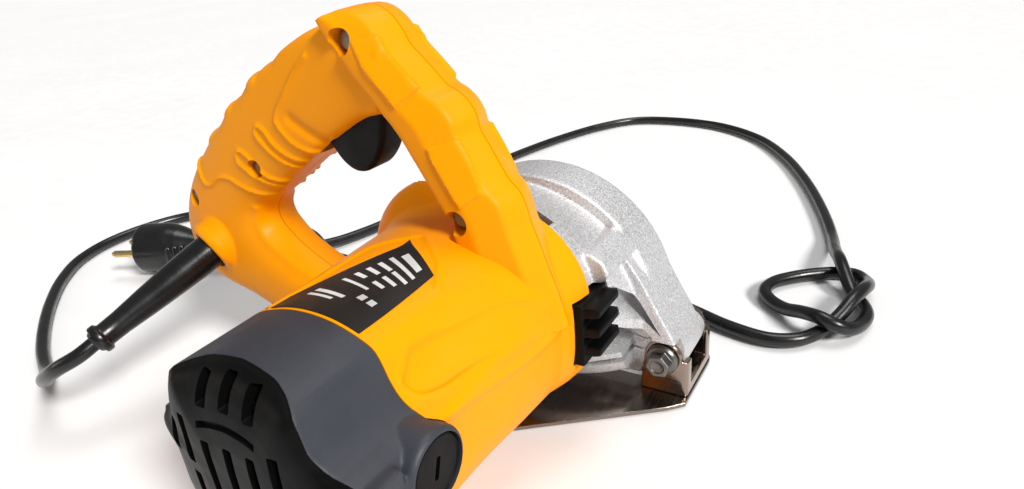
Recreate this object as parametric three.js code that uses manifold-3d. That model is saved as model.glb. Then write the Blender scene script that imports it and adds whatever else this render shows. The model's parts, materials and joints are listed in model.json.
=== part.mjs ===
// Hand-held stone cutter for 110 mm blades, with a cord, as an assembly of separate solids.
// Millimetres. +X is the cutting direction, +Y runs along the motor from its rear cover to
// the blade side, +Z is up. The origin is on the underside of the base plate.
import * as THREE from "three";
import { mergeVertices } from "three/addons/utils/BufferGeometryUtils.js";
import Module from "manifold-3d";

const wasm = await Module();
wasm.setup();

// ---------- driving dimensions ----------
const GAP = 0.3;
const MOTOR = { x: -3, z: 57.5 };
const SPINDLE = { x: 2, z: 37.1 };
const PIVOT = { x: 66.2, z: 20.3 };

const HOUSING_REAR_Y = -92;
const HOUSING_WALL = 3;
const COVER_END_Y = -131;
const BRUSH_Y = -97.6;
const BRUSH_CAP_RADIUS = 11.1;
const BRUSH_CAP_FACE_X = 48;

const GUARD_RADIUS = 60.8;
const GUARD_BACK_Y = 34;
const GUARD_RIM_Y = 57.7;
const GUARD_WALL = 3.3;
const BLADE_ROOM_RADIUS = 57.3;
const CAST_FACE_Y = GAP;

const HANDLE_NEAR_Y = -34;
const HANDLE_FAR_Y = -0.4;
const HANDLE_SEAM_Y = -17;
const HANDLE_WALL = 3.2;

const PLATE_THICKNESS = 2;
const PLATE = { rear: -118, front: 78, motorSide: -40, bladeSide: 75 };
const EAR_NEAR_Y = 31.5;
const EAR_FAR_Y = 66.5;
const EAR_THICKNESS = 2;
const EAR_RADIUS = 8.2;

const GEAR_MODULE = 1;
const PINION_TEETH = 10;
const GEAR_TEETH = 32;

const CORD_RADIUS = 3.75;
const CORD_SIDES = 8;
const CORD_STEPS = 170;

// ---------- materials ----------
function material(color, roughness, metalness) {
  return new THREE.MeshStandardMaterial({ color, roughness, metalness });
}

const YELLOW = [0xf8b400, 0.42, 0];
const DARK_PLASTIC = [0x2a2c2f, 0.55, 0];
const BLACK_PLASTIC = [0x111213, 0.6, 0];
const BLACK_RUBBER = [0x0c0c0d, 0.45, 0];
const CAST_ALUMINIUM = [0xb9babc, 0.55, 0.85];
const BRIGHT_STEEL = [0xb8b4ae, 0.25, 1];
const DARK_STEEL = [0x4c4d50, 0.4, 1];
const BRASS = [0xc09a4a, 0.35, 1];
const COPPER = [0xa8562a, 0.4, 1];
const CARBON = [0x242424, 0.8, 0];

// ---------- solids ----------
function signedVolume(positions, index) {
  let volume = 0;
  const corner = (i) => new THREE.Vector3().fromArray(positions, 3 * index[i]);
  for (let i = 0; i < index.length; i += 3) {
    volume += corner(i).dot(corner(i + 1).cross(corner(i + 2))) / 6;
  }
  return volume;
}

function solid(geometry) {
  const bare = geometry.clone();
  bare.deleteAttribute("normal");
  bare.deleteAttribute("uv");
  const merged = mergeVertices(bare, 1e-4);
  const vertProperties = Float32Array.from(merged.attributes.position.array);
  const triVerts = Uint32Array.from(merged.index.array);
  if (signedVolume(vertProperties, triVerts) < 0) {
    triVerts.reverse();
  }
  return new wasm.Manifold(new wasm.Mesh({ numProp: 3, vertProperties, triVerts }));
}

function union(...pieces) {
  return pieces.reduce((whole, piece) => whole.add(piece));
}

function box(low, high) {
  const size = high.map((value, axis) => value - low[axis]);
  const middle = high.map((value, axis) => (value + low[axis]) / 2);
  return solid(new THREE.BoxGeometry(...size).translate(...middle));
}

function rodX(radius, x0, x1, y, z, sides = 20) {
  const rod = new THREE.CylinderGeometry(radius, radius, x1 - x0, sides).rotateZ(Math.PI / 2);
  return solid(rod.translate((x0 + x1) / 2, y, z));
}

function rodY(radius, y0, y1, x, z, sides = 20) {
  const rod = new THREE.CylinderGeometry(radius, radius, y1 - y0, sides);
  return solid(rod.translate(x, (y0 + y1) / 2, z));
}

function ringY(outer, inner, y0, y1, x, z, sides = 24) {
  const hole = rodY(inner, y0 - 1, y1 + 1, x, z, sides);
  return rodY(outer, y0, y1, x, z, sides).subtract(hole);
}

// A profile of [radius, y] pairs turned about an axis parallel to Y.
function turnedY(profile, x, z, sides = 20) {
  const points = profile.map(([radius, y]) => new THREE.Vector2(radius, y));
  return solid(new THREE.LatheGeometry(points, sides).translate(x, 0, z));
}

// A shape drawn in X and Z about a centre, extruded along Y between two stations.
function plateY(shape, y0, y1, bevel = 0, centre = { x: 0, z: 0 }) {
  const options = {
    depth: y1 - y0 - 2 * bevel,
    bevelEnabled: bevel > 0,
    bevelSize: bevel,
    bevelThickness: bevel,
    bevelOffset: -bevel,
    bevelSegments: 1,
    curveSegments: 6,
  };
  const geometry = new THREE.ExtrudeGeometry(shape, options);
  return solid(geometry.rotateX(Math.PI / 2).translate(centre.x, y1 - bevel, centre.z));
}

function plateZ(shape, z0, z1) {
  const options = { depth: z1 - z0, bevelEnabled: false, curveSegments: 6 };
  return solid(new THREE.ExtrudeGeometry(shape, options).translate(0, 0, z0));
}

function polygon(points) {
  return new THREE.Shape(points.map(([u, v]) => new THREE.Vector2(u, v)));
}

// A smooth closed outline through a few points.
function smoothOutline(points, count) {
  const knots = points.map(([u, v]) => new THREE.Vector3(u, v, 0));
  const curve = new THREE.CatmullRomCurve3(knots, true, "centripetal");
  const spaced = curve.getSpacedPoints(count).slice(0, -1);
  return spaced.map((point) => [point.x, point.y]);
}

// Moves each point of an outline inwards by a distance, or outwards if it is negative.
function inset(outline, distance) {
  const turn = Math.sign(THREE.ShapeUtils.area(outline.map(([u, v]) => new THREE.Vector2(u, v))));
  return outline.map(([u, v], i) => {
    const before = outline.at(i - 1);
    const after = outline[(i + 1) % outline.length];
    const along = new THREE.Vector2(after[0] - before[0], after[1] - before[1]).normalize();
    return [u - turn * along.y * distance, v + turn * along.x * distance];
  });
}

// A skin through rings of equal point count, closed by a fan at each end.
function loft(rings) {
  const positions = [];
  const index = [];
  const count = rings[0].length;
  rings.forEach((ring) => ring.forEach((point) => positions.push(...point)));
  for (let r = 0; r + 1 < rings.length; r += 1) {
    for (let i = 0; i < count; i += 1) {
      const a = r * count + i;
      const b = r * count + ((i + 1) % count);
      index.push(a, b, a + count, b, b + count, a + count);
    }
  }
  [0, rings.length - 1].forEach((end) => {
    const ring = rings[end];
    const centre = [0, 1, 2].map((axis) => ring.reduce((sum, p) => sum + p[axis], 0) / count);
    const hub = positions.length / 3;
    positions.push(...centre);
    for (let i = 0; i < count; i += 1) {
      const a = end * count + i;
      const b = end * count + ((i + 1) % count);
      index.push(...(end === 0 ? [hub, b, a] : [hub, a, b]));
    }
  });
  const geometry = new THREE.BufferGeometry();
  geometry.setAttribute("position", new THREE.Float32BufferAttribute(positions, 3));
  geometry.setIndex(index);
  return solid(geometry);
}

function ngon(radius, sides) {
  const points = Array.from({ length: sides }, (_, i) => {
    const angle = (2 * Math.PI * (i + 0.5)) / sides;
    return [radius * Math.cos(angle), radius * Math.sin(angle)];
  });
  return polygon(points);
}

function tube(curve, section, steps) {
  const options = { extrudePath: curve, steps, bevelEnabled: false };
  return solid(new THREE.ExtrudeGeometry(section, options));
}

function smoothCurve(points, closed = false) {
  const knots = points.map((point) => new THREE.Vector3(...point));
  return new THREE.CatmullRomCurve3(knots, closed, "centripetal");
}

function coilSpring(start, end, radius, wire, turns) {
  const axis = new THREE.Vector3().subVectors(end, start);
  const length = axis.length();
  const facing = new THREE.Quaternion();
  facing.setFromUnitVectors(new THREE.Vector3(0, 0, 1), axis.clone().normalize());
  const perTurn = 6;
  const points = [];
  for (let i = 0; i <= turns * perTurn; i += 1) {
    const angle = (2 * Math.PI * i) / perTurn;
    const rise = (length * i) / (turns * perTurn);
    const point = new THREE.Vector3(radius * Math.cos(angle), radius * Math.sin(angle), rise);
    points.push(point.applyQuaternion(facing).add(start).toArray());
  }
  return tube(smoothCurve(points), ngon(wire, 4), turns * perTurn);
}

const tool = new THREE.Group();

function add(name, shape, look) {
  const mesh = shape.getMesh();
  const geometry = new THREE.BufferGeometry();
  const positions = Float32Array.from(mesh.vertProperties);
  geometry.setAttribute("position", new THREE.BufferAttribute(positions, 3));
  geometry.setIndex(Array.from(mesh.triVerts));
  geometry.computeVertexNormals();
  const node = new THREE.Mesh(geometry, material(...look));
  node.name = name;
  tool.add(node);
}

// ---------- outlines shared by several pieces ----------
function superRing(y, halfWidth, above, below, centre, inward = 0, count = 28) {
  const upperPower = 2 / 2.15;
  const lowerPower = 2 / 3.2;
  return Array.from({ length: count }, (_, i) => {
    const angle = (2 * Math.PI * i) / count;
    const c = Math.cos(angle);
    const s = Math.sin(angle);
    const power = s >= 0 ? upperPower : lowerPower;
    const height = s >= 0 ? above : below;
    const x = centre.x + (halfWidth - inward) * Math.sign(c) * Math.abs(c) ** power;
    const z = centre.z + (height - inward) * Math.sign(s) * Math.abs(s) ** power;
    return [x, y, z];
  });
}

// Motor housing sections: [y, half width, height above the axis, depth below it].
const TUBE_SECTIONS = [
  [HOUSING_REAR_Y, 43, 38.5, 37],
  [-55, 44.5, 39.5, 39.5],
  [-18, 46.5, 40.5, 41],
  [-8, 50.5, 43, 41.5],
  [0, 52.5, 45, 41.5],
];

function housingSolid(inward) {
  const rings = TUBE_SECTIONS.map(([y, half, above, below]) => {
    return superRing(y, half, above, below, MOTOR, inward);
  });
  return loft(rings);
}

const HANDLE_OUTLINE = smoothOutline([
  [-33, 178], [-21, 171.5], [-10, 161.5], [1, 151], [9, 140], [14, 129], [20, 117], [27, 106],
  [33, 96], [38, 86], [42, 76], [38, 62], [10, 56], [-30, 42], [-50, 27], [-74, 26], [-95, 30],
  [-112, 36], [-128, 44], [-146, 47], [-160, 52], [-167, 63], [-166, 78], [-160, 92],
  [-150, 105], [-138, 117], [-122, 130], [-104, 143], [-84, 156], [-62, 168], [-44, 175.5],
], 50);

const LOOP_OUTLINE = smoothOutline([
  [-22, 144], [-11, 134], [-3, 120], [3, 106], [8, 90], [2, 78], [-25, 62], [-52, 55], [-70, 59],
  [-84, 65], [-96, 73], [-104, 82], [-104, 90], [-93, 99], [-80, 108], [-66, 117], [-50, 127],
  [-36, 138], [-29, 143],
], 34);

const CORD_EXIT = new THREE.Vector3(-138, HANDLE_NEAR_Y, 69);
const CORD_OUT = new THREE.Vector3(-0.28, -0.88, -0.38).normalize();
const RELIEF_LENGTH = 66;

// Screw places on the handle: [x, z].
const HANDLE_SCREWS = [[12, 104], [-29, 167], [-95, 113], [-146, 93]];

// ---------- handle ----------
// A round push button through the far shell.
const BUTTON = { x: -68, z: 149, radius: 5 };

const TRIGGER_PIVOT = { x: -28, z: 150 };
const TRIGGER_OUTLINE = [
  [-31, 154], [-24, 148], [-22, 138], [-27, 122], [-34, 116], [-42, 114.5], [-50, 117],
  [-57, 123], [-62, 129], [-66, 135], [-57, 139], [-45, 146],
];

const TRIGGER_TRAVEL = THREE.MathUtils.degToRad(6);

// Turns an outline about the trigger's pivot, the way the trigger is pressed.
function swung(outline, angle) {
  const c = Math.cos(angle);
  const s = Math.sin(angle);
  return outline.map(([x, z]) => {
    const dx = x - TRIGGER_PIVOT.x;
    const dz = z - TRIGGER_PIVOT.z;
    return [TRIGGER_PIVOT.x + dx * c + dz * s, TRIGGER_PIVOT.z - dx * s + dz * c];
  });
}

function boss() {
  const flange = new THREE.CylinderGeometry(12.5, 14, 12, 20);
  const facing = new THREE.Quaternion();
  facing.setFromUnitVectors(new THREE.Vector3(0, 1, 0), CORD_OUT);
  flange.translate(0, -3, 0).applyQuaternion(facing);
  flange.translate(CORD_EXIT.x, CORD_EXIT.y, CORD_EXIT.z);
  return solid(flange);
}

function cordPassage(radius) {
  const passage = new THREE.CylinderGeometry(radius, radius, 50, 16);
  const facing = new THREE.Quaternion();
  facing.setFromUnitVectors(new THREE.Vector3(0, 1, 0), CORD_OUT);
  passage.applyQuaternion(facing);
  passage.translate(CORD_EXIT.x, CORD_EXIT.y, CORD_EXIT.z);
  return solid(passage);
}

function handleShells() {
  const outer = plateY(polygon(HANDLE_OUTLINE), HANDLE_NEAR_Y, HANDLE_FAR_Y, 6);
  const loop = plateY(polygon(LOOP_OUTLINE), HANDLE_NEAR_Y - 1, HANDLE_FAR_Y + 1);
  const cavityOutline = polygon(inset(HANDLE_OUTLINE, HANDLE_WALL + 1));
  const cavityLow = HANDLE_NEAR_Y + HANDLE_WALL;
  const cavityHigh = HANDLE_FAR_Y - HANDLE_WALL;
  const innerSkin = plateY(polygon(inset(LOOP_OUTLINE, -HANDLE_WALL)), HANDLE_NEAR_Y, HANDLE_FAR_Y);
  const cavity = plateY(cavityOutline, cavityLow, cavityHigh, 3).subtract(innerSkin);
  const slot = [0, TRIGGER_TRAVEL / 2, TRIGGER_TRAVEL].map((angle) => {
    const outline = inset(swung(TRIGGER_OUTLINE, angle), -1);
    return plateY(polygon(outline), HANDLE_SEAM_Y - 8.6, HANDLE_SEAM_Y + 8.6);
  });
  let posts = null;
  let recesses = null;
  HANDLE_SCREWS.forEach(([x, z]) => {
    const post = rodY(6, HANDLE_NEAR_Y + 1.5, HANDLE_FAR_Y - 1.5, x, z, 16);
    const recess = rodY(4.4, HANDLE_NEAR_Y - 4, -25, x, z, 16);
    const hole = rodY(2.3, -26, HANDLE_FAR_Y - 4, x, z, 12);
    posts = posts ? posts.add(post) : post;
    recesses = recesses ? union(recesses, recess, hole) : recess.add(hole);
  });
  const shells = outer.add(boss()).subtract(loop).subtract(cavity).add(posts);
  return shells.subtract(union(...slot)).subtract(recesses).subtract(cordPassage(8));
}

const CUT_SIZE = 400;

function nearSideOf(y) {
  return box([-CUT_SIZE, -CUT_SIZE, -CUT_SIZE], [CUT_SIZE, y, CUT_SIZE]);
}

function motorHousing(shells, tubeOuter, tubeInner) {
  const half = shells.intersect(nearSideOf(HANDLE_SEAM_Y - GAP / 2));
  const skin = half.subtract(housingSolid(HOUSING_WALL)).add(tubeOuter.subtract(tubeInner));
  const cap = BRUSH_CAP_RADIUS + 2.2;
  const notches = rodX(cap, -60, -34, BRUSH_Y, MOTOR.z).add(rodX(cap, 34, 60, BRUSH_Y, MOTOR.z));
  const ventWindow = box([36, -12, 36], [60, 1, 67]);
  const lowWindow = box([10, -16, 10], [34, -6, 24]);
    return skin.subtract(notches).subtract(ventWindow).subtract(lowWindow).subtract(leadPassage());
}

// The passage for the internal leads between handle and motor.
function leadPassage() {
  return rodX(4, -60, -36, -28, 44, 12);
}

function handleCover(shells, tubeOuter) {
  const half = shells.subtract(nearSideOf(HANDLE_SEAM_Y + GAP / 2));
  const clear = loft(TUBE_SECTIONS.map(([y, side, above, below]) => {
    return superRing(y * 1.02 + 0.5, side, above, below, MOTOR, -GAP);
  }));
  const buttonHole = rodY(BUTTON.radius + GAP, -12, 5, BUTTON.x, BUTTON.z);
  return half.subtract(clear).subtract(tubeOuter).subtract(buttonHole);
}

const shells = handleShells();
const tubeOuter = housingSolid(0);
const tubeInner = loft([
  superRing(HOUSING_REAR_Y - 1, 43, 38.5, 37, MOTOR, HOUSING_WALL),
  superRing(-18, 46.5, 40.5, 41, MOTOR, HOUSING_WALL),
  superRing(1, 50.5, 43, 41.5, MOTOR, HOUSING_WALL),
]);
add("motor_housing", motorHousing(shells, tubeOuter, tubeInner), YELLOW);
add("handle_cover", handleCover(shells, tubeOuter), YELLOW);

// ---------- rear cover ----------
const COVER_SCREWS = [[-31, 35], [25, 35]];

// Rear cover sections: [y, half width, height above the axis, depth below it].
const COVER_SECTIONS = [
  [HOUSING_REAR_Y - GAP, 43, 38.5, 37],
  [-108, 42.5, 38.5, 37],
  [-122, 41, 37, 36.5],
  [COVER_END_Y, 36, 30, 32],
];

function coverSolid(inward, shift) {
  return loft(COVER_SECTIONS.map(([y, half, above, below]) => {
    return superRing(y + shift, half, above, below, MOTOR, inward);
  }));
}

function rearCover() {
  const bossRadius = BRUSH_CAP_RADIUS + 1.6;
  const inner = coverSolid(HOUSING_WALL, 3);
  const mouth = loft([
    superRing(HOUSING_REAR_Y - 3, 43, 38.5, 37, MOTOR, HOUSING_WALL),
    superRing(HOUSING_REAR_Y + 4, 43, 38.5, 37, MOTOR, HOUSING_WALL),
  ]);
  let cover = coverSolid(0, 0);
  [-1, 1].forEach((side) => {
    const out = MOTOR.x + side * BRUSH_CAP_FACE_X;
    const root = MOTOR.x + side * 36;
    cover = cover.add(rodX(bossRadius, Math.min(out, root), Math.max(out, root), BRUSH_Y, MOTOR.z));
  });
  cover = cover.subtract(inner).subtract(mouth);
  const bearingSeat = ringY(14, 11.3, -124, -113.5, MOTOR.x, MOTOR.z, 24);
  const spokes = box([-60, -124, 55], [60, -118, 60]).intersect(coverSolid(1.5, 1.5));
  cover = cover.add(bearingSeat).add(spokes.subtract(rodY(12, -126, -112, MOTOR.x, MOTOR.z)));
  [-1, 1].forEach((side) => {
    const out = MOTOR.x + side * (BRUSH_CAP_FACE_X + 2);
    const root = MOTOR.x + side * 30;
    const low = Math.min(out, root);
    cover = cover.subtract(rodX(BRUSH_CAP_RADIUS + GAP, low, low + 20, BRUSH_Y, MOTOR.z));
  });
  for (let i = -2; i <= 2; i += 1) {
    const x = MOTOR.x + 8 * i;
    const low = MOTOR.z - 27 + Math.abs(i);
    const high = MOTOR.z + 24 - 2 * Math.abs(i);
    cover = cover.subtract(box([x - 2.2, COVER_END_Y - 2, low], [x + 2.2, -125, MOTOR.z - 15]));
    cover = cover.subtract(box([x - 2.2, COVER_END_Y - 2, MOTOR.z + 15], [x + 2.2, -125, high]));
  }
  COVER_SCREWS.forEach(([x, z]) => {
    cover = cover.add(rodY(4.6, COVER_END_Y + 1, HOUSING_REAR_Y - 1, x, z, 12).intersect(coverSolid(0, 0)));
    cover = cover.subtract(rodY(3.3, -140, -116, x, z, 12)).subtract(rodY(1.9, -117, -80, x, z, 8));
  });
  return cover;
}

add("rear_cover", rearCover(), DARK_PLASTIC);
COVER_SCREWS.forEach(([x, z], i) => {
  add(`rear_cover_screw_${i + 1}`, panScrew(3, -119, 1.5, -98, -116.3, x, z), DARK_STEEL);
});

// ---------- brush gear, one set on each side of the commutator ----------
const SIDES = { front: 1, rear: -1 };

function spanX(side, near, far) {
  const a = MOTOR.x + side * near;
  const b = MOTOR.x + side * far;
  return [Math.min(a, b), Math.max(a, b)];
}

function brushCap(side) {
  const face = spanX(side, BRUSH_CAP_FACE_X - 4, BRUSH_CAP_FACE_X - 0.5);
  const [low, high] = spanX(side, BRUSH_CAP_FACE_X - 1.8, BRUSH_CAP_FACE_X + 1);
  const slot = box([low, BRUSH_Y - 4, MOTOR.z - 0.9], [high, BRUSH_Y + 4, MOTOR.z + 0.9]);
  return rodX(BRUSH_CAP_RADIUS, ...face, BRUSH_Y, MOTOR.z, 28).subtract(slot);
}

function blockX(side, near, far, halfY, halfZ) {
  const [low, high] = spanX(side, near, far);
  return box([low, BRUSH_Y - halfY, MOTOR.z - halfZ], [high, BRUSH_Y + halfY, MOTOR.z + halfZ]);
}

function brushSpring(side) {
  const start = new THREE.Vector3(MOTOR.x + side * 27.6, BRUSH_Y, MOTOR.z);
  const end = new THREE.Vector3(MOTOR.x + side * 42.6, BRUSH_Y, MOTOR.z);
  return coilSpring(start, end, 2.2, 0.5, 4);
}

Object.entries(SIDES).forEach(([word, side]) => {
  const tunnel = blockX(side, 14, 44, 4.3, 3.3);
  add(`brush_cap_${word}`, brushCap(side), BLACK_PLASTIC);
  add(`brush_holder_${word}`, blockX(side, 15, 43, 5.6, 4.6).subtract(tunnel), BRASS);
  add(`carbon_brush_${word}`, blockX(side, 11.7, 26.5, 4, 3), CARBON);
  add(`brush_spring_${word}`, brushSpring(side), BRIGHT_STEEL);
});

// ---------- motor ----------
const CORE_LOW_Y = -72;
const CORE_HIGH_Y = -27;

function statorCore() {
  const ring = ringY(35, 18.6, CORE_LOW_Y, CORE_HIGH_Y, MOTOR.x, MOTOR.z, 32);
  const windows = box([MOTOR.x - 29.5, -90, MOTOR.z - 13], [MOTOR.x + 29.5, -10, MOTOR.z + 13]);
  return ring.subtract(windows);
}

// One field coil: two legs beside the rotor, joined by arches past the ends of the core.
function fieldCoil(side) {
  const legX = 22.8;
  const legZ = 6.8;
  const low = CORE_LOW_Y - 6;
  const high = CORE_HIGH_Y + 5;
  const route = [
    [legX, high - 4, legZ], [legX, low + 4, legZ], [19, low, 13], [0, low, 24.5], [-19, low, 13],
    [-legX, low + 4, legZ], [-legX, high - 4, legZ], [-19, high, 13], [0, high, 24.5], [19, high, 13],
  ];
  const placed = route.map(([x, y, z]) => [MOTOR.x + x, y, MOTOR.z + side * z]);
  return tube(smoothCurve(placed, true), ngon(3.6, 6), 30);
}

add("stator_core", statorCore(), DARK_STEEL);
add("field_coil_upper", fieldCoil(1), COPPER);
add("field_coil_lower", fieldCoil(-1), COPPER);

add("armature_shaft", turnedY([
  [0, -119], [3.5, -119], [3.5, -111], [5.4, -110], [5.4, 1.6], [5, 1.7], [5, 11.4], [2.8, 11.6],
  [2.8, 24.5], [0, 24.5],
], MOTOR.x, MOTOR.z, 16), BRIGHT_STEEL);

function slottedRod(outer, inner, y0, y1, slots, slotWidth, slotDepth) {
  let rod = ringY(outer, inner, y0, y1, MOTOR.x, MOTOR.z, 24);
  for (let i = 0; i < slots; i += 1) {
    const slot = new THREE.BoxGeometry(slotDepth * 2, y1 - y0 + 2, slotWidth);
    slot.translate(outer, (y0 + y1) / 2, 0).rotateY((2 * Math.PI * i) / slots);
    rod = rod.subtract(solid(slot.translate(MOTOR.x, 0, MOTOR.z)));
  }
  return rod;
}

add("commutator", slottedRod(11.2, 5.7, -104, -90.5, 12, 0.6, 0.8), COPPER);

function windingHead(near, far) {
  const profile = [[5.7, near], [12, near], [16, (near + far) / 2], [12, far], [5.7, far], [5.7, near]];
  return turnedY(profile, MOTOR.x, MOTOR.z, 12);
}

const armatureCore = slottedRod(17.8, 5.7, CORE_LOW_Y + 1, CORE_HIGH_Y - 1, 12, 1.6, 5);
const rearHead = windingHead(-84, CORE_LOW_Y + 1.2);
const frontHead = windingHead(CORE_HIGH_Y - 1.2, -20);
add("wound_armature", union(armatureCore, rearHead, frontHead), COPPER);

function coolingFan() {
  let fan = ringY(31, 5.7, -9, -7.2, MOTOR.x, MOTOR.z, 32);
  fan = fan.add(ringY(9, 5.7, -16, -7.3, MOTOR.x, MOTOR.z, 24));
  for (let i = 0; i < 9; i += 1) {
    const blade = new THREE.BoxGeometry(22, 7, 1.4).translate(19, -12.4, 0);
    blade.rotateY(0.5).rotateY((2 * Math.PI * i) / 9).translate(MOTOR.x, 0, MOTOR.z);
    const kept = solid(blade).subtract(rodY(8, -20, 0, MOTOR.x, MOTOR.z));
    fan = fan.add(kept);
  }
  return fan.intersect(rodY(31, -17, 0, MOTOR.x, MOTOR.z, 32));
}

add("cooling_fan", coolingFan(), BLACK_PLASTIC);

function bearing(outer, inner, y0, y1, centre) {
  const lip = (outer + inner) / 2;
  const shield = 0.6;
  const profile = [
    [inner, y0], [lip - 1.2, y0], [lip, y0 + shield], [lip + 1.2, y0], [outer, y0], [outer, y1],
    [lip + 1.2, y1], [lip, y1 - shield], [lip - 1.2, y1], [inner, y1], [inner, y0],
  ];
  return turnedY(profile, centre.x, centre.z, 18);
}

add("rear_motor_bearing", bearing(11, 3.8, -118.5, -111.6, MOTOR), BRIGHT_STEEL);
add("front_motor_bearing", bearing(13, 5.3, 2.4, 10.6, MOTOR), BRIGHT_STEEL);

// ---------- reduction gears ----------
function gearShape(teeth, turn) {
  const pitchRadius = (GEAR_MODULE * teeth) / 2;
  const tip = pitchRadius + 0.75 * GEAR_MODULE;
  const root = pitchRadius - 1.05 * GEAR_MODULE;
  const step = (2 * Math.PI) / teeth;
  const halfRoot = 0.29 * step;
  const halfTip = 0.11 * step;
  const points = [];
  for (let i = 0; i < teeth; i += 1) {
    const middle = turn + i * step;
    [[root, -halfRoot], [tip, -halfTip], [tip, halfTip], [root, halfRoot]].forEach(([r, a]) => {
      points.push([r * Math.cos(middle + a), r * Math.sin(middle + a)]);
    });
  }
  return polygon(points);
}

const MESH_ANGLE = Math.atan2(SPINDLE.z - MOTOR.z, SPINDLE.x - MOTOR.x);
const GEAR_LOW_Y = 13;
const GEAR_HIGH_Y = 23;

function gear(teeth, turn, bore, centre) {
  const blank = plateY(gearShape(teeth, turn), GEAR_LOW_Y, GEAR_HIGH_Y, 0, centre);
  const hole = rodY(bore, GEAR_LOW_Y - 1, GEAR_HIGH_Y + 1, centre.x, centre.z, 18);
  return blank.subtract(hole);
}

add("drive_pinion", gear(PINION_TEETH, MESH_ANGLE + Math.PI / PINION_TEETH, 3.1, MOTOR), DARK_STEEL);
add("driven_gear", gear(GEAR_TEETH, MESH_ANGLE + Math.PI, 6 + GAP, SPINDLE), DARK_STEEL);

add("spindle", turnedY([
  [0, 3.4], [4, 3.4], [4, 11.8], [6, 12], [6, 40.2], [7.4, 40.4], [7.4, 41.4], [5, 41.6],
  [5, 48.4], [0, 48.4],
], SPINDLE.x, SPINDLE.z, 18), BRIGHT_STEEL);
add("spindle_needle_bearing", ringY(7, 4.1, 3.6, 11.4, SPINDLE.x, SPINDLE.z, 24), BRIGHT_STEEL);
add("spindle_ball_bearing", bearing(15, 6.1, 25.6, 34.2, SPINDLE), BRIGHT_STEEL);

// ---------- gear housing, cast in one piece with the blade guard ----------
const COVER_PLATE_RADIUS = 25;
const COVER_SCREW_CIRCLE = 21.5;

function circleRing(y, radius, centre, count = 32) {
  return Array.from({ length: count }, (_, i) => {
    const angle = (2 * Math.PI * i) / count;
    return [centre.x + radius * Math.cos(angle), y, centre.z + radius * Math.sin(angle)];
  });
}

function castBody() {
  const skin = loft([
    superRing(CAST_FACE_Y, 49, 42.5, 39, MOTOR),
    superRing(12, 50.5, 42, 39, MOTOR),
    circleRing(GUARD_BACK_Y + 0.5, GUARD_RADIUS - 5, SPINDLE),
  ]);
  const flat = box([-CUT_SIZE, -10, -CUT_SIZE], [CUT_SIZE, 60, SPINDLE.z - 21.5]);
  const hollow = loft([
    superRing(CAST_FACE_Y - 1, 45.5, 39, 35.5, MOTOR),
    superRing(9, 45.5, 38, 34, MOTOR),
  ]);
  const hub = rodY(16, CAST_FACE_Y, 12, MOTOR.x, MOTOR.z);
  const lowHub = rodY(10, CAST_FACE_Y, 12, SPINDLE.x, SPINDLE.z);
  return skin.subtract(flat).subtract(hollow.subtract(hub).subtract(lowHub));
}

const GUARD_FOOT_Z = 8;
const BASE_DROP = THREE.MathUtils.degToRad(13);
const BASE_RISE = THREE.MathUtils.degToRad(6);

// The space the base plate sweeps as its rear end rises.
function baseSweep(clearance) {
  const reach = 200;
  const slope = Math.tan(BASE_RISE + 0.01);
  return plateY(polygon([
    [PIVOT.x - reach, -50], [PIVOT.x - reach, PLATE_THICKNESS + clearance + reach * slope],
    [PIVOT.x, PLATE_THICKNESS + clearance], [PIVOT.x, -50],
  ]), 0, 90);
}

function guardShell() {
  const disc = rodY(GUARD_RADIUS, GUARD_BACK_Y, GUARD_RIM_Y, SPINDLE.x, SPINDLE.z, 40);
  const room = rodY(BLADE_ROOM_RADIUS, GUARD_BACK_Y + GUARD_WALL, 80, SPINDLE.x, SPINDLE.z, 40);
  const below = box([-CUT_SIZE, 30, -CUT_SIZE], [CUT_SIZE, 90, GUARD_FOOT_Z]);
  return disc.subtract(room).subtract(below).subtract(baseSweep(1));
}

// The arm from the guard down to the front pivot, with a ribbed pocket on the motor side.
function frontArm() {
  const arm = plateY(polygon([
    [41, 74], [50, 67], [74, 26], [75, 18], [66, 11.3], [56, 12], [36, 14], [30, 30],
  ]), 24, GUARD_RIM_Y);
  const barrel = rodY(9, GUARD_BACK_Y - 0.2, EAR_FAR_Y - EAR_THICKNESS - GAP, PIVOT.x, PIVOT.z);
  const nearEar = box([52, 0, 0], [90, GUARD_BACK_Y - 0.2, 32]);
  const upperPocket = plateY(polygon([[49.5, 60], [51.5, 45.5], [66, 33.5]]), 10, 33.5);
  const lowerPocket = plateY(polygon([[49.5, 42], [40, 28], [58, 24.5], [63, 31]]), 10, 33.5);
  return arm.subtract(nearEar).subtract(upperPocket).subtract(lowerPocket).add(barrel);
}

// The lug at the rear that the depth arm is clamped against.
const LOCK = { x: -70, z: 44 };
const LUG_FACE_Y = 35;

function rearLug() {
  return plateY(polygon([
    [-50, 66], [-64, 56], [-78, 50], [-80, 42], [-74, 36], [-50, 34],
  ]), LUG_FACE_Y, 46);
}

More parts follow.
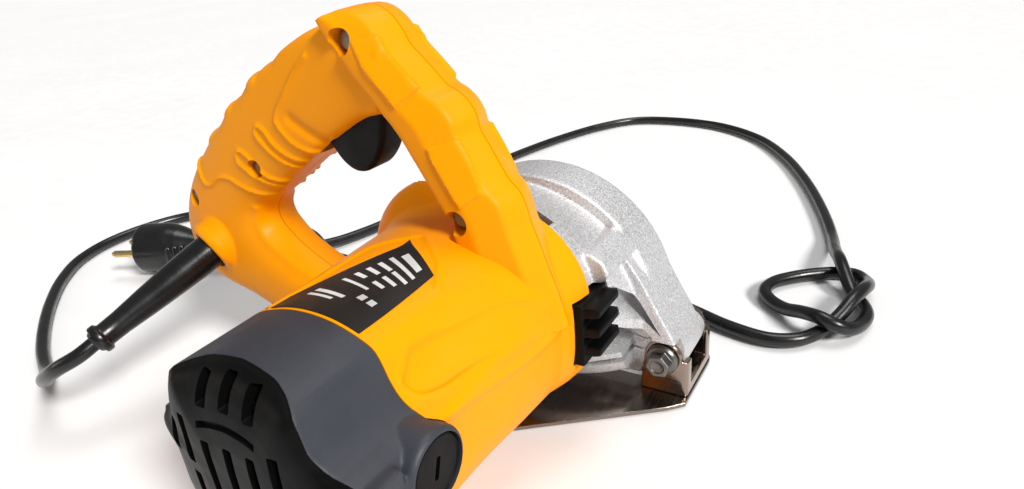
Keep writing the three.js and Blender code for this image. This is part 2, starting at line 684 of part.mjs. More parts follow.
function gearHousing() {
  const room = rodY(BLADE_ROOM_RADIUS, GUARD_BACK_Y + GUARD_WALL, 80, SPINDLE.x, SPINDLE.z, 40);
  let casting = union(castBody(), guardShell(), frontArm(), rearLug()).subtract(room);
  const cavities = [
    rodY(13.05 + GAP, -1, 11, MOTOR.x, MOTOR.z, 28),
    rodY(8, 10, 26, MOTOR.x, MOTOR.z),
    rodY(19, 12, 26, SPINDLE.x, SPINDLE.z, 32),
    rodY(7 + GAP, 3, 13, SPINDLE.x, SPINDLE.z),
    rodY(COVER_PLATE_RADIUS + GAP, 25, 40, SPINDLE.x, SPINDLE.z, 40),
    rodY(3.2, 20, 70, PIVOT.x, PIVOT.z, 16),
    rodY(3.2, 30, 50, LOCK.x, LOCK.z, 16),
  ];
  cavities.forEach((cavity) => {
    casting = casting.subtract(cavity);
  });
  const airWindow = box([38, -1, 36], [70, 13, 67]);
  const leftWindow = box([-70, 4, 40], [-44, 11, 70]);
  const topSlot = box([14, -1, 78], [30, 6, 100]);
  return casting.subtract(airWindow).subtract(leftWindow).subtract(topSlot);
}

add("gear_housing", gearHousing(), CAST_ALUMINIUM);

function coverScrewPlaces() {
  return [0, 1, 2].map((i) => {
    const angle = Math.PI / 2 + ((2 * Math.PI) / 3) * i;
    return [
      SPINDLE.x + COVER_SCREW_CIRCLE * Math.cos(angle),
      SPINDLE.z + COVER_SCREW_CIRCLE * Math.sin(angle),
    ];
  });
}

function bearingCover() {
  let cover = turnedY([
    [7, 36], [7, 35], [15 + GAP, 34.6], [15 + GAP, 25.4], [COVER_PLATE_RADIUS, 25.4],
    [COVER_PLATE_RADIUS, 36], [18, 38.5], [7.8, 38.5], [7, 36],
  ], SPINDLE.x, SPINDLE.z, 24);
  coverScrewPlaces().forEach(([x, z]) => {
    cover = cover.subtract(rodY(1.9, 20, 50, x, z, 12)).subtract(rodY(3.6, 35, 50, x, z, 14));
  });
  return cover;
}

add("bearing_cover", bearingCover(), CAST_ALUMINIUM);

// A screw along Y: the head ends at headEnd, and the shank runs on from neck to tip.
function panScrew(headRadius, headEnd, shankRadius, tip, neck, x, z) {
  const head = rodY(headRadius, Math.min(headEnd, neck), Math.max(headEnd, neck), x, z, 14);
  const shank = rodY(shankRadius, Math.min(tip, neck), Math.max(tip, neck), x, z, 10);
  return head.add(shank);
}

coverScrewPlaces().forEach(([x, z], i) => {
  add(`bearing_cover_screw_${i + 1}`, panScrew(3.2, 37, 1.6, 26, 35.2, x, z), DARK_STEEL);
});

// ---------- blade fixing ----------
add("inner_flange", turnedY([
  [6.1, 41.8], [16, 41.8], [16, 44.4], [13, 45.2], [5.3, 45.2], [5.3, 42.2], [6.1, 41.8],
], SPINDLE.x, SPINDLE.z, 24), DARK_STEEL);
add("outer_flange", turnedY([
  [5.3, 45.6], [13, 45.6], [16, 46.4], [16, 48.6], [5.3, 48.8], [5.3, 45.6],
], SPINDLE.x, SPINDLE.z, 24), DARK_STEEL);

function bladeBolt() {
  const washer = rodY(9, 49.1, 50.6, SPINDLE.x, SPINDLE.z, 24);
  const head = plateY(ngon(7.5, 6), 50.4, 55.4, 0.8, SPINDLE);
  return washer.add(head);
}

add("blade_bolt", bladeBolt(), BRIGHT_STEEL);

// ---------- vents ----------
function sideVent() {
  let vent = box([42, -11, 38], [49.5, 11.5, 65.5]).subtract(box([41, -8.5, 41], [48, 9.5, 62.5]));
  for (let i = 0; i < 3; i += 1) {
    const z = 43.5 + 8.5 * i;
    const fin = polygon([[45, z], [56, z + 2.6], [56, z + 5], [45, z + 3]]);
    vent = vent.add(plateY(fin, -9.5, 10.5, 0.6));
  }
  return vent;
}

add("side_vent", sideVent(), BLACK_PLASTIC);

function lowVent() {
  let vent = box([11, -15, 17.6], [33, -7, 20.4]);
  for (let i = 0; i < 4; i += 1) {
    vent = vent.subtract(box([13 + 5 * i, -14, 10], [15 + 5 * i, -8, 30]));
  }
  return vent;
}

add("low_vent", lowVent(), BLACK_PLASTIC);

// ---------- base ----------
const BLADE_SLOT = { rear: -62, front: 62, near: 39.5, far: 56.5 };

function basePlate() {
  const outline = new THREE.Shape();
  outline.moveTo(PLATE.front, PLATE.bladeSide - 12);
  outline.absarc(PLATE.front - 12, PLATE.bladeSide - 12, 12, 0, Math.PI / 2);
  outline.absarc(PLATE.rear + 12, PLATE.bladeSide - 12, 12, Math.PI / 2, Math.PI);
  outline.absarc(PLATE.rear + 12, PLATE.motorSide + 12, 12, Math.PI, 1.5 * Math.PI);
  outline.lineTo(-12, PLATE.motorSide);
  outline.lineTo(PLATE.front - 6, 22);
  outline.lineTo(PLATE.front, 28);
  const slot = new THREE.Path();
  slot.moveTo(BLADE_SLOT.front, BLADE_SLOT.near);
  slot.lineTo(BLADE_SLOT.front, BLADE_SLOT.far);
  slot.lineTo(BLADE_SLOT.rear, BLADE_SLOT.far);
  slot.lineTo(BLADE_SLOT.rear, BLADE_SLOT.near);
  outline.holes.push(slot);
  return plateZ(outline, 0, PLATE_THICKNESS);
}

add("base_plate", basePlate(), BRIGHT_STEEL);

const BRACKET_FRONT_X = 76;
const BRACKET_FOOT_Z = PLATE_THICKNESS + GAP;

function frontBracket() {
  const ear = new THREE.Shape();
  ear.moveTo(PIVOT.x - EAR_RADIUS, BRACKET_FOOT_Z);
  ear.lineTo(BRACKET_FRONT_X, BRACKET_FOOT_Z);
  ear.lineTo(BRACKET_FRONT_X, PIVOT.z);
  ear.absarc(PIVOT.x, PIVOT.z, EAR_RADIUS, 0, Math.PI);
  const near = plateY(ear, EAR_NEAR_Y, EAR_NEAR_Y + EAR_THICKNESS);
  const far = plateY(ear, EAR_FAR_Y - EAR_THICKNESS, EAR_FAR_Y);
  const front = BRACKET_FRONT_X;
  const foot = BRACKET_FOOT_Z;
  const web = box([front - 0.5, EAR_NEAR_Y, foot], [front + 1.5, EAR_FAR_Y, 11]);
  const sole = box([64, EAR_NEAR_Y, foot], [front, EAR_FAR_Y, foot + 2]);
  return union(near, far, web, sole).subtract(rodY(3.3, 20, 80, PIVOT.x, PIVOT.z, 16));
}

add("front_bracket", frontBracket(), BRIGHT_STEEL);

function pivotBolt() {
  const head = plateY(ngon(5.8, 6), 23.6, 28.2, 0.6, PIVOT);
  const flange = rodY(7, 28, 31.2, PIVOT.x, PIVOT.z, 24);
  const shank = rodY(2.9, 29, 76, PIVOT.x, PIVOT.z, 20);
  return union(head, flange, shank);
}

add("pivot_bolt", pivotBolt(), DARK_STEEL);

function pivotNut() {
  const nut = plateY(ngon(6, 6), 66.8, 72.6, 0.6, PIVOT);
  return nut.subtract(rodY(3.2, 60, 80, PIVOT.x, PIVOT.z, 16));
}

add("pivot_nut", pivotNut(), DARK_STEEL);

// ---------- depth setting ----------
const ARM_Y = [LUG_FACE_Y - GAP - 2.2, LUG_FACE_Y - GAP];
const LOCK_RADIUS = Math.hypot(LOCK.x - PIVOT.x, LOCK.z - PIVOT.z);
const LOCK_ANGLE = Math.atan2(LOCK.z - PIVOT.z, LOCK.x - PIVOT.x);

function arcBand(inner, outer, from, to, steps) {
  const at = (radius, angle) => [
    PIVOT.x + radius * Math.cos(angle), PIVOT.z + radius * Math.sin(angle),
  ];
  const angles = Array.from({ length: steps + 1 }, (_, i) => from + ((to - from) * i) / steps);
  const outerSide = angles.map((angle) => at(outer, angle));
  const innerSide = angles.map((angle) => at(inner, angle)).reverse();
  return polygon([...outerSide, ...innerSide]);
}

// The slotted arm turns with the base about the front pivot.
function depthArm() {
  const spare = THREE.MathUtils.degToRad(1.8);
  const slotTop = LOCK_ANGLE - BASE_DROP - spare;
  const slotFoot = LOCK_ANGLE + BASE_RISE + spare;
  const band = arcBand(LOCK_RADIUS - 8, LOCK_RADIUS + 8, slotTop - 0.045, Math.PI + 0.16, 12);
  const slot = arcBand(LOCK_RADIUS - 3.4, LOCK_RADIUS + 3.4, slotTop, slotFoot, 14);
  const ground = box([-CUT_SIZE, 0, -CUT_SIZE], [CUT_SIZE, 90, BRACKET_FOOT_Z]);
  const flange = box([-82, 20, BRACKET_FOOT_Z], [-61, ARM_Y[1], BRACKET_FOOT_Z + 2]);
  const arm = plateY(band, ...ARM_Y).subtract(plateY(slot, ARM_Y[0] - 1, ARM_Y[1] + 1));
  return arm.subtract(ground).add(flange);
}

add("depth_arm", depthArm(), BRIGHT_STEEL);

function depthLockBolt() {
  const shank = rodY(2.9, 26, 50, LOCK.x, LOCK.z, 16);
  const head = plateY(ngon(5.6, 6), 46.4, 50.4, 0.5, LOCK);
  return shank.add(head);
}

add("depth_lock_bolt", depthLockBolt(), DARK_STEEL);

function wingNut() {
  const hub = rodY(6, 22, 32.2, LOCK.x, LOCK.z, 20);
  const wings = plateY(wingShape(), 23, 27, 0.8);
  return hub.add(wings).subtract(rodY(3.2, 20, 40, LOCK.x, LOCK.z, 16));
}

function wingShape() {
  const outline = smoothOutline([
    [-11, 3.6], [0, 4], [11, 3.6], [12.4, 0], [11, -3.6], [0, -4], [-11, -3.6], [-12.4, 0],
  ], 20);
  return polygon(outline.map(([u, v]) => [LOCK.x + u, LOCK.z + v]));
}

add("depth_lock_wing_nut", wingNut(), BLACK_PLASTIC);

// ---------- switch, trigger and lock button ----------
function switchBody() {
  const body = polygon([[-84, 133], [-66, 141], [-46, 151], [-52, 160], [-66, 154], [-90, 142]]);
  return plateY(body, HANDLE_SEAM_Y - 8, HANDLE_SEAM_Y + 8);
}

add("switch_body", switchBody(), BLACK_PLASTIC);

const triggerBlade = plateY(polygon(TRIGGER_OUTLINE), HANDLE_SEAM_Y - 7.5, HANDLE_SEAM_Y + 7.5, 1.2);
add("trigger", triggerBlade, BLACK_PLASTIC);

function triggerSpring() {
  const start = new THREE.Vector3(-59, HANDLE_SEAM_Y, 139.2);
  const end = new THREE.Vector3(-60.6, HANDLE_SEAM_Y, 142.6);
  return coilSpring(start, end, 1.9, 0.35, 3);
}

add("trigger_spring", triggerSpring(), BRIGHT_STEEL);

function lockButton() {
  const back = HANDLE_FAR_Y - 5.6;
  const cap = rodY(BUTTON.radius, back, HANDLE_FAR_Y + 2.4, BUTTON.x, BUTTON.z);
  const collar = rodY(BUTTON.radius + 1.2, back, back + 1.6, BUTTON.x, BUTTON.z);
  return cap.add(collar);
}

add("lock_button", lockButton(), BLACK_PLASTIC);

HANDLE_SCREWS.forEach(([x, z], i) => {
  add(`handle_screw_${i + 1}`, panScrew(3.6, -29, 1.9, -10, -25.6, x, z), DARK_STEEL);
});

// ---------- cord, strain relief and plug ----------
const RELIEF_TIP = CORD_EXIT.clone().addScaledVector(CORD_OUT, RELIEF_LENGTH);

function strainRelief() {
  const sleeve = new THREE.LatheGeometry([
    [0, -18], [9, -18], [9, -14], [7.4, -13.6], [7.5, 0], [7.6, 8], [5.6, 52], [5.6, 56],
    [6.4, 56.4], [6.4, 59.6], [5.2, RELIEF_LENGTH], [0, RELIEF_LENGTH],
  ].map(([radius, y]) => new THREE.Vector2(radius, y)), 20);
  const facing = new THREE.Quaternion();
  facing.setFromUnitVectors(new THREE.Vector3(0, 1, 0), CORD_OUT);
  sleeve.applyQuaternion(facing).translate(CORD_EXIT.x, CORD_EXIT.y, CORD_EXIT.z);
  return solid(sleeve);
}

add("strain_relief", strainRelief(), BLACK_RUBBER);

const PLUG_TAIL = new THREE.Vector3(-240, 46, 17.2);
const PLUG_FACE = new THREE.Vector3(-303, 18, 17.2);
const PLUG_LENGTH = PLUG_TAIL.distanceTo(PLUG_FACE);
const PLUG_AXIS = new THREE.Vector3().subVectors(PLUG_FACE, PLUG_TAIL).normalize();

const CORD_ROUTE = [
  RELIEF_TIP.clone().addScaledVector(CORD_OUT, GAP).toArray(),
  RELIEF_TIP.clone().addScaledVector(CORD_OUT, 8).toArray(),
  [-167, -106, 36], [-182, -107, 27], [-203, -101, 15], [-228, -91, 6], [-256, -80, 3.9],
  [-283, -66, 3.9], [-315, -46, 3.9], [-346, -22, 3.9], [-367, 2, 3.9], [-377, 30, 3.9],
  [-374, 64, 3.9], [-358, 93, 3.9], [-324, 112, 3.9], [-280, 111, 3.9], [-244, 100, 6.5],
  [-210, 86, 11.9], [-178, 74, 6.5], [-140, 82, 3.9], [-90, 96, 3.9], [-30, 106, 3.9],
  [20, 108, 3.9], [50, 104, 3.9], [80, 93, 3.9], [100, 90, 3.9], [112, 95, 3.9],
  [119, 104, 3.9], [124, 115, 4.4], [128, 123, 7.5], [131, 131, 11], [134.5, 142, 12],
  [136, 154, 9], [134, 166, 5], [128, 174, 3.9], [119.5, 173, 3.9], [108, 167, 3.9],
  [97, 158, 3.9], [89, 148, 3.9], [87, 137, 3.9], [92, 128, 3.9], [101, 120, 5],
  [110, 113, 9], [119.5, 106, 12], [127, 105, 10], [133, 110, 6.5], [137, 120, 4],
  [138.5, 131, 3.9], [135, 142, 3.9], [130, 149, 4.4], [125.5, 158, 8], [119.5, 173, 12],
  [115, 190, 9], [109, 222, 3.9], [97, 263, 3.9], [76, 319, 3.9], [50, 372, 3.9],
  [18, 416, 3.9], [-26, 446, 3.9], [-74, 454, 3.9], [-112, 446, 3.9], [-138, 416, 3.9],
  [-160, 366, 3.9], [-175, 313, 3.9], [-184, 262, 3.9], [-186, 215, 3.9], [-184, 164, 3.9],
  [-192, 120, 3.9], [-202, 87, 6],
  PLUG_TAIL.clone().addScaledVector(PLUG_AXIS, -26).add(new THREE.Vector3(0, 0, -3)).toArray(),
  PLUG_TAIL.clone().addScaledVector(PLUG_AXIS, -8).toArray(),
  PLUG_TAIL.clone().addScaledVector(PLUG_AXIS, -GAP).toArray(),
];

function powerCord() {
  return tube(smoothCurve(CORD_ROUTE), ngon(CORD_RADIUS, CORD_SIDES), CORD_STEPS);
}

add("power_cord", powerCord(), BLACK_RUBBER);

// Places a piece modelled along +Y from the plug's tail onto the plug's axis.
function onPlug(geometry) {
  const side = new THREE.Vector3().crossVectors(PLUG_AXIS, new THREE.Vector3(0, 0, 1)).normalize();
  const up = new THREE.Vector3().crossVectors(side, PLUG_AXIS);
  const placing = new THREE.Matrix4().makeBasis(side, PLUG_AXIS, up).setPosition(PLUG_TAIL);
  return solid(geometry.applyMatrix4(placing));
}

const PLUG_RADIUS = 17;
const PIN_SPACING = 19;

const plugProfile = [
  [0, 0], [5.4, 0], [6.6, 22], [8, 24], [13, 40], [PLUG_RADIUS - 1, 48], [PLUG_RADIUS, 50],
  [PLUG_RADIUS, PLUG_LENGTH - 1.5], [PLUG_RADIUS - 1.5, PLUG_LENGTH], [0, PLUG_LENGTH],
].map(([radius, y]) => new THREE.Vector2(radius, y));
add("plug_body", onPlug(new THREE.LatheGeometry(plugProfile, 22)), BLACK_RUBBER);

[-1, 1].forEach((side) => {
  const pinProfile = [[0, GAP], [2.4, GAP], [2.4, 17], [1.4, 19], [0, 19]];
  const pin = new THREE.LatheGeometry(pinProfile.map(([r, y]) => new THREE.Vector2(r, y)), 12);
  pin.translate((side * PIN_SPACING) / 2, PLUG_LENGTH, 0);
  add(side < 0 ? "plug_pin_left" : "plug_pin_right", onPlug(pin), BRASS);
});

// ---------- small pieces ----------
add("cable_clamp", box([-130, -24, 86], [-114, -19, 93]), BLACK_PLASTIC);

function ratingLabel() {
  const skin = housingSolid(-GAP - 0.5).subtract(housingSolid(-GAP));
  const outline = polygon([[-27, -88], [-1, -44], [21, -60], [22, -88]]);
  return skin.intersect(plateZ(outline, 80, 120));
}

add("rating_label", ratingLabel(), DARK_PLASTIC);

export default tool;
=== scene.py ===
import json
import math

import bmesh
import bpy
import numpy as np
from mathutils import Matrix, Vector


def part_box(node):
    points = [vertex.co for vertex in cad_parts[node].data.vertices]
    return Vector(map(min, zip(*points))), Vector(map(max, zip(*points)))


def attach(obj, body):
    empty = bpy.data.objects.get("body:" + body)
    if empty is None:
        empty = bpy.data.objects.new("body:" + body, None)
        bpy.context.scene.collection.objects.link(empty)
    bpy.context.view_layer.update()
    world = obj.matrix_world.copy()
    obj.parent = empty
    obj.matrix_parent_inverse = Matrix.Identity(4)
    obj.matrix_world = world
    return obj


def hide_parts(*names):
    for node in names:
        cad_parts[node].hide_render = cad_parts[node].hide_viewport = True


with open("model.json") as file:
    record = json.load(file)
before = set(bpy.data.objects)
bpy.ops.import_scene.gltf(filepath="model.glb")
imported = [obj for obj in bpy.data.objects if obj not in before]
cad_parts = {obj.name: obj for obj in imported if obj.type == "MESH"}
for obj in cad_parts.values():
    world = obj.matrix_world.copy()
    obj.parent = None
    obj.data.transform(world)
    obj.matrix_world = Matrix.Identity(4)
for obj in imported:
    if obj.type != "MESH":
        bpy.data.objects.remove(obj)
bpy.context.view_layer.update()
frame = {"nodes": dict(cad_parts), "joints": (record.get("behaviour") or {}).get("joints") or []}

# Shapes are worked out in millimetres, in the part's own frame: +X is the cutting direction,
# +Y runs along the motor towards the blade, +Z is up. make() turns them into metres.
MM = 0.001


def joint_place(name):
    joint = next(j for j in frame["joints"] if j["name"] == name)
    return np.array(joint["pos_m"]) / MM


def box_mm(node):
    low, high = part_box(node)
    return np.array(low) / MM, np.array(high) / MM


MOTOR = joint_place("rotor_spin")
SPINDLE = joint_place("spindle_spin")
PIVOT = joint_place("base_tilt")
LOCK = joint_place("wing_nut_turn")
HANDLE_NEAR_Y = -34.0
HANDLE_FAR_Y = box_mm("handle_cover")[1][1]
SEAM_Y = -17.0
SEAM_GAP = 0.35
HOUSING_REAR_Y = box_mm("motor_housing")[0][1]
COVER_FRONT_Y = box_mm("rear_cover")[1][1]
COVER_END_Y = box_mm("rear_cover")[0][1]
COVER_MIDDLE_Y = COVER_END_Y + 12.0
BRUSH_Y = -97.6
BRUSH_PLACE = (MOTOR[0], BRUSH_Y, MOTOR[2])
CAST_FACE_Y = box_mm("gear_housing")[0][1]
GUARD_BACK_Y = 34.0
GUARD_RIM_Y = 57.7
GUARD_RADIUS = 60.8
BLADE_ROOM_RADIUS = 57.3


# ---------- camera ----------
def add_camera():
    azimuth, elevation, roll = (math.radians(a) for a in (33.31, 25.0, -5.38))
    place = Vector((0.1518, -0.2110, 0.1988))
    forward = Vector((
        -math.sin(azimuth) * math.cos(elevation),
        math.cos(azimuth) * math.cos(elevation),
        -math.sin(elevation),
    ))
    level = forward.cross(Vector((0, 0, 1))).normalized()
    down = forward.cross(level)
    right = math.cos(roll) * level - math.sin(roll) * down
    up = -(math.sin(roll) * level + math.cos(roll) * down)
    data = bpy.data.cameras.new("camera")
    data.sensor_width = 36
    data.lens = 23.99
    data.clip_start = 0.01
    camera = bpy.data.objects.new("camera", data)
    turn = Matrix((right, up, -forward)).transposed().to_4x4()
    camera.matrix_world = Matrix.Translation(place) @ turn
    bpy.context.scene.collection.objects.link(camera)
    bpy.context.scene.camera = camera


add_camera()


# ---------- materials ----------
class Look:
    """A node material, built up a layer at a time around one Principled shader."""

    def __init__(self, name, roughness, metallic=0.0, shine=0.5):
        self.material = bpy.data.materials.new(name)
        self.material.use_nodes = True
        self.tree = self.material.node_tree
        self.shader = self.tree.nodes["Principled BSDF"]
        self.shader.inputs["Roughness"].default_value = roughness
        self.shader.inputs["Metallic"].default_value = metallic
        self.shader.inputs["Specular IOR Level"].default_value = shine
        self.coordinates = self.node("ShaderNodeTexCoord").outputs["Object"]
        self.normal = None

    def node(self, kind, **settings):
        made = self.tree.nodes.new(kind)
        for key, value in settings.items():
            setattr(made, key, value)
        return made

    def link(self, out, into):
        self.tree.links.new(out, into)

    def stretched(self, scale):
        mapping = self.node("ShaderNodeMapping")
        mapping.inputs["Scale"].default_value = scale
        self.link(self.coordinates, mapping.inputs["Vector"])
        return mapping.outputs["Vector"]

    def noise(self, scale, detail=3.0, roughness=0.5, stretch=(1, 1, 1)):
        made = self.node("ShaderNodeTexNoise")
        made.inputs["Scale"].default_value = scale
        made.inputs["Detail"].default_value = detail
        made.inputs["Roughness"].default_value = roughness
        self.link(self.stretched(stretch), made.inputs["Vector"])
        return made.outputs["Fac"]

    def ramp(self, fac, stops):
        made = self.node("ShaderNodeValToRGB")
        elements = made.color_ramp.elements
        while len(elements) < len(stops):
            elements.new(0.5)
        for element, (at, colour) in zip(elements, stops):
            element.position = at
            element.color = (*colour, 1.0)
        self.link(fac, made.inputs["Fac"])
        return made.outputs["Color"]

    def grey(self, fac, low, high, at=(0.0, 1.0)):
        return self.ramp(fac, [(at[0], (low,) * 3), (at[1], (high,) * 3)])

    def colour(self, fac, stops):
        self.link(self.ramp(fac, stops), self.shader.inputs["Base Color"])
        return self

    def rough(self, fac, low, high, at=(0.3, 0.7)):
        self.link(self.grey(fac, low, high, at), self.shader.inputs["Roughness"])
        return self

    def bump(self, height, strength, distance):
        made = self.node("ShaderNodeBump")
        made.inputs["Strength"].default_value = strength
        made.inputs["Distance"].default_value = distance
        self.link(height, made.inputs["Height"])
        if self.normal is not None:
            self.link(self.normal, made.inputs["Normal"])
        self.normal = made.outputs["Normal"]
        self.link(self.normal, self.shader.inputs["Normal"])
        return self


def yellow_look():
    look = Look("yellow_plastic", 0.42, shine=0.1)
    look.colour(look.noise(9, 2), [(0.3, (0.88, 0.30, 0.0)), (0.7, (0.92, 0.325, 0.0))])
    look.rough(look.noise(60, 4), 0.34, 0.46)
    look.bump(look.noise(2600, 2), 0.12, 0.0002)
    look.bump(look.noise(30, 2), 0.1, 0.0006)
    return look.material


def grey_look():
    look = Look("dark_grey_plastic_painted_blue_reflection", 0.5, shine=0.35)
    # The dark grey is the plastic's own colour; its blue tint is painted reflection of a bluish sky light.
    look.colour(look.noise(24, 5, 0.6), [(0.3, (0.026, 0.029, 0.038)), (0.7, (0.038, 0.042, 0.053))])
    look.rough(look.noise(80, 5), 0.42, 0.56)
    look.bump(look.noise(3200, 2), 0.3, 0.0002)
    return look.material


def black_look(name="black_plastic", level=0.0025, roughness=(0.35, 0.5), shine=0.1):
    look = Look(name, 0.45, shine=shine)
    low, high = level * 0.8, level * 1.4
    look.colour(look.noise(40, 4), [(0.3, (low,) * 3), (0.7, (high,) * 3)])
    look.rough(look.noise(90, 4), *roughness)
    look.bump(look.noise(2600, 2), 0.15, 0.0002)
    return look.material


def rubber_look():
    look = Look("black_rubber", 0.3)
    look.colour(look.noise(50, 3), [(0.3, (0.003, 0.003, 0.0035)), (0.7, (0.006, 0.006, 0.0065))])
    look.rough(look.noise(120, 4), 0.22, 0.34)
    look.bump(look.noise(700, 3), 0.12, 0.0003)
    return look.material


def cast_look():
    look = Look("cast_aluminium", 0.55, metallic=0.85)
    speckle = look.noise(1500, 2, 0.7)
    look.colour(speckle, [(0.3, (0.50, 0.50, 0.515)), (0.5, (0.68, 0.68, 0.69)), (0.68, (0.9, 0.9, 0.9))])
    look.rough(look.noise(900, 3), 0.42, 0.66)
    look.bump(look.noise(1300, 3, 0.6), 0.55, 0.0004)
    look.bump(look.noise(60, 3), 0.15, 0.0008)
    return look.material


def steel_look(name="bright_steel", level=0.6, roughness=(0.16, 0.3), stretch=(2, 60, 60),
               tint=(1.0, 0.97, 0.93)):
    look = Look(name, 0.25, metallic=1.0)
    tint = np.array(tint)
    low, high = tuple(tint * level * 0.85), tuple(tint * level)
    look.colour(look.noise(20, 4), [(0.3, low), (0.7, high)])
    look.rough(look.noise(14, 4, stretch=stretch), *roughness)
    look.bump(look.noise(18, 3, stretch=stretch), 0.05, 0.0003)
    return look.material


def metal_look(name, colour, roughness):
    look = Look(name, 0.35, metallic=1.0)
    shade = np.array(colour)
    look.colour(look.noise(60, 4), [(0.3, tuple(shade * 0.8)), (0.7, tuple(shade))])
    look.rough(look.noise(200, 4), *roughness)
    look.bump(look.noise(400, 3), 0.1, 0.0002)
    return look.material


YELLOW = yellow_look()
GREY_WITH_BLUE_REFLECTION = grey_look()
BLACK = black_look()
RUBBER = rubber_look()
CAST = cast_look()
STEEL = steel_look()
DARK_STEEL = steel_look("dark_steel", 0.2, (0.25, 0.42))
BRASS = metal_look("brass", (0.78, 0.56, 0.24), (0.2, 0.34))
COPPER = metal_look("copper", (0.66, 0.27, 0.12), (0.3, 0.45))


# ---------- curves and meshes ----------
def spline(points, count, closed=False):
    """Evenly spaced points on a smooth curve through a few points."""
    knots = np.array(points, float)
    if closed:
        knots = np.vstack([knots[-1], knots, knots[:2]])
    else:
        knots = np.vstack([2 * knots[0] - knots[1], knots, 2 * knots[-1] - knots[-2]])
    steps = np.linspace(0, 1, 24, endpoint=False)[:, None]
    run = []
    for before, a, b, after in zip(knots, knots[1:], knots[2:], knots[3:]):
        gaps = [max(np.linalg.norm(q - p), 1e-6) ** 0.5 for p, q in ((before, a), (a, b), (b, after))]
        leave = (a - before) / gaps[0] - (b - before) / (gaps[0] + gaps[1]) + (b - a) / gaps[1]
        reach = (b - a) / gaps[1] - (after - a) / (gaps[1] + gaps[2]) + (after - b) / gaps[2]
        leave, reach = leave * gaps[1], reach * gaps[1]
        t = steps
        run.append(
            (2 * t**3 - 3 * t**2 + 1) * a + (t**3 - 2 * t**2 + t) * leave
            + (-2 * t**3 + 3 * t**2) * b + (t**3 - t**2) * reach
        )
    run = np.vstack([*run, knots[-2]])
    along = np.concatenate([[0], np.cumsum(np.linalg.norm(np.diff(run, axis=0), axis=1))])
    stops = np.linspace(0, along[-1], count + 1)[:-1] if closed else np.linspace(0, along[-1], count)
    return np.column_stack([np.interp(stops, along, run[:, k]) for k in range(run.shape[1])])


def loft(rings, caps=True):
    """A skin through rings of equal point count, as vertices and faces."""
    rings = np.array(rings, float)
    turns, count = rings.shape[:2]
    faces = []
    for r in range(turns - 1):
        for i in range(count):
            j = (i + 1) % count
            faces.append((r * count + i, r * count + j, (r + 1) * count + j, (r + 1) * count + i))
    if caps:
        faces.append(tuple(reversed(range(count))))
        faces.append(tuple(range((turns - 1) * count, turns * count)))
    return rings.reshape(-1, 3), faces


def joined(*meshes):
    vertices, faces, start = [], [], 0
    for points, polygons in meshes:
        vertices.append(points)
        faces += [tuple(start + i for i in polygon) for polygon in polygons]
        start += len(points)
    return np.vstack(vertices), faces


def closed_normals(outline):
    along = np.roll(outline, -1, axis=0) - np.roll(outline, 1, axis=0)
    along /= np.maximum(np.linalg.norm(along, axis=1), 1e-9)[:, None]
    area = np.sum(outline[:, 0] * np.roll(outline[:, 1], -1) - np.roll(outline[:, 0], -1) * outline[:, 1])
    return np.column_stack([along[:, 1], -along[:, 0]]) * np.sign(area)


def inset(outline, distance):
    return outline - closed_normals(outline) * distance


def plate_y(outline, y0, y1, bevel=0.0, steps=3):
    """An outline in X and Z, extruded along Y with rounded edges."""
    outline = np.array(outline, float)
    turns = []
    for k in range(steps + 1 if bevel else 1):
        a = math.pi / 2 * k / steps
        turns.append((bevel * (1 - math.sin(a)), bevel * (1 - math.cos(a))))
    rings = []
    for d, dy in turns:
        flat = inset(outline, d)
        rings.append(np.column_stack([flat[:, 0], np.full(len(flat), y0 + dy), flat[:, 1]]))
    for d, dy in reversed(turns):
        flat = inset(outline, d)
        rings.append(np.column_stack([flat[:, 0], np.full(len(flat), y1 - dy), flat[:, 1]]))
    return loft(rings)


def round_corners(points, radius, steps=5):
    """A polygon with each corner rounded, as a dense outline."""
    points = np.array(points, float)
    out = []
    for before, corner, after in zip(np.roll(points, 1, axis=0), points, np.roll(points, -1, axis=0)):
        a, b = before - corner, after - corner
        reach = min(radius, 0.45 * np.linalg.norm(a), 0.45 * np.linalg.norm(b))
        start = corner + a / np.linalg.norm(a) * reach
        end = corner + b / np.linalg.norm(b) * reach
        for k in range(steps + 1):
            t = k / steps
            out.append((1 - t) ** 2 * start + 2 * t * (1 - t) * corner + t**2 * end)
    return np.array(out)


def basis(axis):
    axis = np.array(axis, float) / np.linalg.norm(axis)
    side = np.cross(axis, (0, 0, 1.0)) if abs(axis[2]) < 0.9 else np.cross(axis, (1.0, 0, 0))
    side /= np.linalg.norm(side)
    return side, np.cross(axis, side), axis


def turned(profile, origin, axis, count=48):
    """A profile of (radius, distance along the axis) turned about an axis."""
    side, up, axis = basis(axis)
    angles = np.linspace(0, 2 * math.pi, count, endpoint=False)
    wheel = np.cos(angles)[:, None] * side + np.sin(angles)[:, None] * up
    rings = [np.array(origin) + along * axis + max(r, 0.02) * wheel for r, along in profile]
    return loft(rings)


def block(low, high):
    outline = [(low[0], low[2]), (high[0], low[2]), (high[0], high[2]), (low[0], high[2])]
    return plate_y(outline, low[1], high[1])


def mesh_data(name, mesh, scale=1.0):
    data = bpy.data.meshes.new(name)
    data.from_pydata((mesh[0] * scale).tolist(), [], mesh[1])
    data.validate()
    data.update()
    return data


def arrays(data):
    points = np.empty(len(data.vertices) * 3)
    data.vertices.foreach_get("co", points)
    return points.reshape(-1, 3), [tuple(p.vertices) for p in data.polygons]


